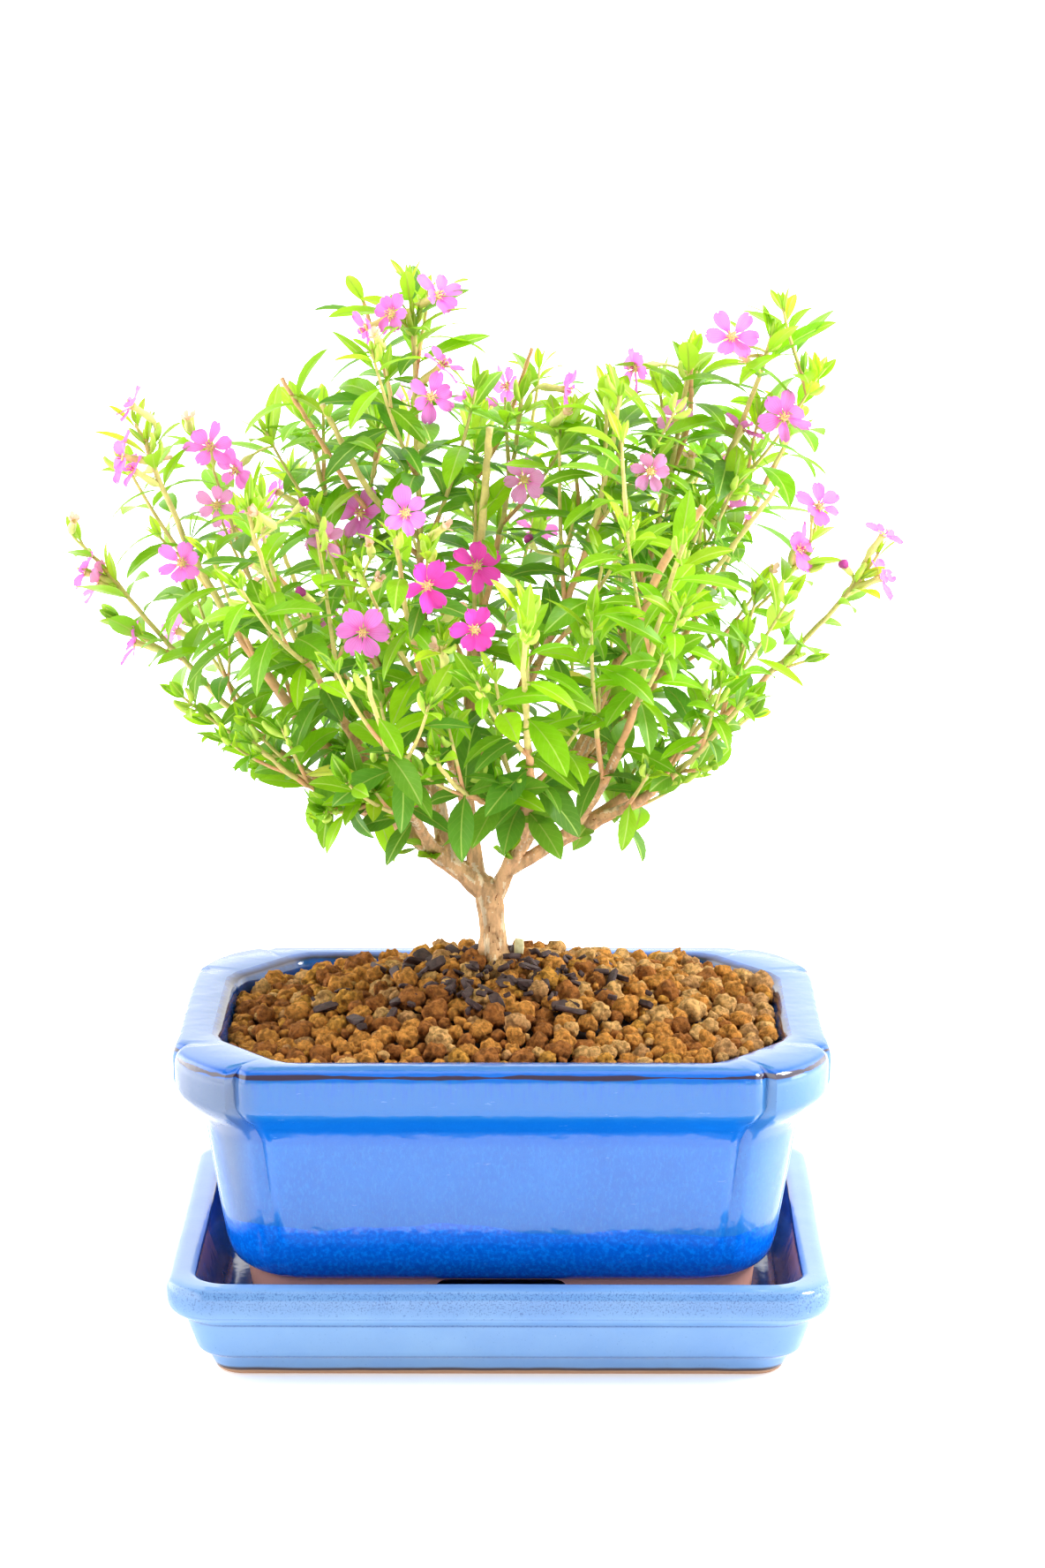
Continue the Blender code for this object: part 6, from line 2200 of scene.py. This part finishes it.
class BuildFoliage(bpy.types.Operator):
    """Grow the shoots and their leaves"""

    bl_idname = "bonsai.build_foliage"
    bl_label = "Shoots and leaves"

    def execute(self, context):
        look = context.scene.bonsai_foliage
        grown = plant(context.scene)
        stems = finish_set(look, ("stem_bark", "stem_red", "stem_green", "cut"), "", 0.78,
                           480.0, 0.6, (1200.0, 0.4, 0.4, 0.0002))
        twigs = twig_shape(grown["shoots"], Draw(look.seed + 900))
        make_piece("shoots", twigs, stems, ["foliage_" + limb.name for limb in LIMBS])
        for kind in LEAF_KINDS:
            make_piece("leaves_" + kind, grown["blades"][kind], self.leaf_finishes(kind, look))
        return {"FINISHED"}

    def leaf_finishes(self, kind, look):
        """Three shades of a leaf colour, and its rib."""
        base = Vector(getattr(look, kind))
        made = []
        for shade, (name, gain) in enumerate(LEAF_SHADES):
            tilt = Vector((1.0 + 0.08 * (shade - 1), 1.0, 1.0 - 0.10 * (shade - 1)))
            colour = tuple(min(1.0, level * gain * lean) for level, lean in zip(base, tilt))
            made.append(leaf_finish("leaf_" + kind + "_" + name, colour, tuple(look.under), look))
        rib = Vector(look.vein).lerp(base, 0.52)
        made.append(patchy_finish("rib_" + kind, tuple(rib * 0.9), tuple(rib), 400.0, 0.5))
        return made


class BuildFlowers(bpy.types.Operator):
    """Set the flowers, buds and spent flowers on the shoots"""

    bl_idname = "bonsai.build_flowers"
    bl_label = "Flowers"

    def execute(self, context):
        look = context.scene.bonsai_flowers
        grown = plant(context.scene)
        draw = Draw(FLOWER_SEED)
        petals, green, eyes = Shape(), Shape(), Shape()
        parts = (petals, green, eyes)
        for seat, bloom in grown["blooms"]:
            add_bloom(parts, seat, bloom.tint, bloom.size, look, draw)
        for seat, kind in grown["buds"]:
            add_bud(parts, seat, kind, draw)
        self.add_hidden(parts, grown["nodes"], look, draw)
        self.add_green_tubes(green, grown["shoots"], draw)
        tints = [petal_finish("petal_" + name, tuple(getattr(look, name)), tuple(look.throat), look)
                 for name in TINTS]
        tints.append(petal_finish("petal_spent", tuple(look.spent), srgb(222, 160, 150), look))
        make_piece("petals", petals, tints)
        tubes = finish_set(look, ("calyx", "calyx_green"), "", 0.82, 500.0, 0.5)
        make_piece("calyxes", green, tubes)
        finishes = finish_set(look, ("eye", "throat", "bud", "spent"), "flower_", 0.75, 700.0, 0.55)
        make_piece("flower_eyes_and_buds", eyes, finishes)
        return {"FINISHED"}

    def add_green_tubes(self, green, shoots, draw):
        """Flower tubes that aren't open yet, two or three beside the tip of a shoot."""
        for shoot in shoots:
            if shoot.bare or shoot.order > 1:
                continue
            for _ in range(draw.randrange(1, 4)):
                spot, tangent = along(shoot.points, shoot.length - draw(0.5, 6.0) * MM)
                outward = around(tangent, draw(0.0, 2.0 * pi))
                lean = (tangent + outward * draw(0.35, 0.9)).normalized()
                end = spot + lean * draw(4.0, 6.5) * MM
                if not in_crown(end, 1.0 * MM):
                    continue
                path = bent_path(spot, (outward + tangent * 0.4).normalized(), end, tangent)
                radii = [radius * MM for radius in GREEN_TUBE]
                green.add(*tube(path, radii, 8, ripple=0.08, ripples=4), 1)

    def add_hidden(self, parts, nodes, look, draw):
        """Flowers on the back and the sides, near the ends of shoots."""
        back = [(node.spot, node.tangent) for node in nodes if node.from_tip < 14.0 * MM
                and (node.spot.y > 0.024 or abs(node.spot.x) > 0.075) and node.spot.z > 0.15]
        for index, (spot, tangent) in enumerate(draw.sample(back, min(look.spare, len(back)))):
            outward = Vector((spot.x - TRUNK_FORK.x, spot.y - TRUNK_FORK.y, 0.0)).normalized()
            facing = (outward + tangent * 0.5 + UP * draw(0.0, 0.4)).normalized()
            seat = Seat(spot, tangent, spot + facing * look.reach * 0.9, facing)
            if not in_crown(seat.face, 2.0 * MM):
                continue
            if index % 4 == 3:
                add_bud(parts, seat, "spent", draw)
            else:
                tint = "pale" if index % 5 == 0 else "orchid"
                add_bloom(parts, seat, tint, draw(0.85, 1.05), look, draw)


class SetStage(bpy.types.Operator):
    """Set the floor, the soft lights and the camera"""

    bl_idname = "bonsai.set_stage"
    bl_label = "Stage"

    def execute(self, context):
        look = context.scene.bonsai_stage
        scene = context.scene
        scene.view_settings.view_transform = "Standard"
        self.light_room(scene, look)
        corners = [(x * FLOOR_REACH, y * FLOOR_REACH, 0.0)
                   for x, y in ((-1, -1), (1, -1), (1, 1), (-1, 1))]
        floor = placed("floor", mesh_of("floor", corners, [(0, 1, 2, 3)]))
        floor.data.materials.append(self.floor_finish(look))
        for name, place, size in SOFT_BOXES:
            self.add_light(name, place, size, getattr(look, name))
        camera = bpy.data.cameras.new("camera")
        camera.sensor_width = SENSOR
        camera.lens = PHOTO_FOCAL * SENSOR / PHOTO_HEIGHT
        holder = placed("camera", camera)
        holder.location = CAMERA_PLACE
        holder.rotation_euler = (CAMERA_PITCH, 0.0, CAMERA_YAW)
        scene.camera = holder
        return {"FINISHED"}

    def floor_finish(self, look):
        """Pale table top that shines at the sides and behind, as under strong backlight."""
        nodes = Finish("floor", 0.9, Specular_IOR_Level=0.2)
        place = nodes.place()
        tint = nodes.mottle(place, 6.0, look.floor, scaled(look.floor, 0.98), 0.3)
        nodes.set(Base_Color=tint)
        parts = nodes.parts(place)
        side = nodes.spread(nodes.size(parts["X"]), 0.12, 0.50)
        behind = nodes.spread(parts["Y"], 0.05, 0.45)
        ahead = nodes.spread(parts["Y"], -0.60, -0.25)
        shine = nodes.larger(nodes.times(side, ahead), behind)
        nodes.set(Emission_Color=(1.0, 1.0, 1.0))
        nodes.set(Emission_Strength=nodes.spread(shine, 0.0, 1.0, look.floor_near, look.floor_far))
        return nodes.made

    def light_room(self, scene, look):
        """White all round, weaker on the side where the viewer stands."""
        world = bpy.data.worlds.new("soft_room")
        world.use_nodes = True
        nodes = Nodes(world.node_tree)
        way = nodes.add("ShaderNodeTexCoord").outputs["Generated"]
        parts = nodes.parts(way)
        ahead = parts["Y"]
        background = world.node_tree.nodes["Background"]
        background.inputs["Color"].default_value = (1.0, 1.0, 1.0, 1.0)
        sides = nodes.spread(ahead, -0.90, 0.10, look.front, look.sky)
        behind = nodes.spread(ahead, 0.05, 0.65, 0.0, look.backlight)
        panels = nodes.plus(nodes.spread(parts["X"], -0.66, -0.48, look.left_panel, 0.0),
                            nodes.spread(parts["X"], 0.52, 0.70, 0.0, look.right_panel))
        strip = nodes.spread(parts["X"], 0.965, 0.985, 0.0, look.strip)
        light = nodes.plus(nodes.plus(sides, behind), nodes.plus(panels, strip))
        nodes.put(background.inputs["Strength"], light)
        scene.world = world

    def add_light(self, name, place, size, power):
        """A square soft box that faces the crown."""
        lamp = bpy.data.lights.new(name, "AREA")
        lamp.size = size
        lamp.energy = power
        holder = placed(name, lamp)
        holder.location = place
        holder.rotation_euler = (LIGHT_AIM - Vector(place)).to_track_quat("-Z", "Y").to_euler()


class BonsaiPanel(bpy.types.Panel):
    """Sidebar panel with every piece of the plant and its pot"""

    bl_label = "Cuphea bonsai"
    bl_idname = "VIEW3D_PT_bonsai"
    bl_space_type = "VIEW_3D"
    bl_region_type = "UI"
    bl_category = "Bonsai"

    def draw(self, context):
        for operator, _, name in STEPS:
            box = self.layout.box()
            box.operator(operator.bl_idname)
            settings = getattr(context.scene, name)
            for value in settings.__annotations__:
                box.prop(settings, value)


# What each piece is built by, and where its settings are kept
STEPS = (
    (SetStage, StageSettings, "bonsai_stage"),
    (BuildTray, TraySettings, "bonsai_tray"),
    (BuildPot, PotSettings, "bonsai_pot"),
    (BuildSoil, SoilSettings, "bonsai_soil"),
    (BuildLimbs, BarkSettings, "bonsai_bark"),
    (BuildFoliage, FoliageSettings, "bonsai_foliage"),
    (BuildFlowers, FlowerSettings, "bonsai_flowers"),
)


def register():
    for _, group, name in STEPS:
        bpy.utils.register_class(group)
        setattr(bpy.types.Scene, name, bpy.props.PointerProperty(type=group))
    for operator, _, _ in STEPS:
        bpy.utils.register_class(operator)
    bpy.utils.register_class(BonsaiPanel)


def unregister():
    bpy.utils.unregister_class(BonsaiPanel)
    for operator, group, name in reversed(STEPS):
        bpy.utils.unregister_class(operator)
        delattr(bpy.types.Scene, name)
        bpy.utils.unregister_class(group)


def main():
    register()
    bpy.ops.bonsai.set_stage()
    bpy.ops.bonsai.build_tray()
    bpy.ops.bonsai.build_pot()
    bpy.ops.bonsai.build_soil()
    bpy.ops.bonsai.build_limbs()
    bpy.ops.bonsai.build_foliage()
    bpy.ops.bonsai.build_flowers()


if __name__ == "__main__":
    main()
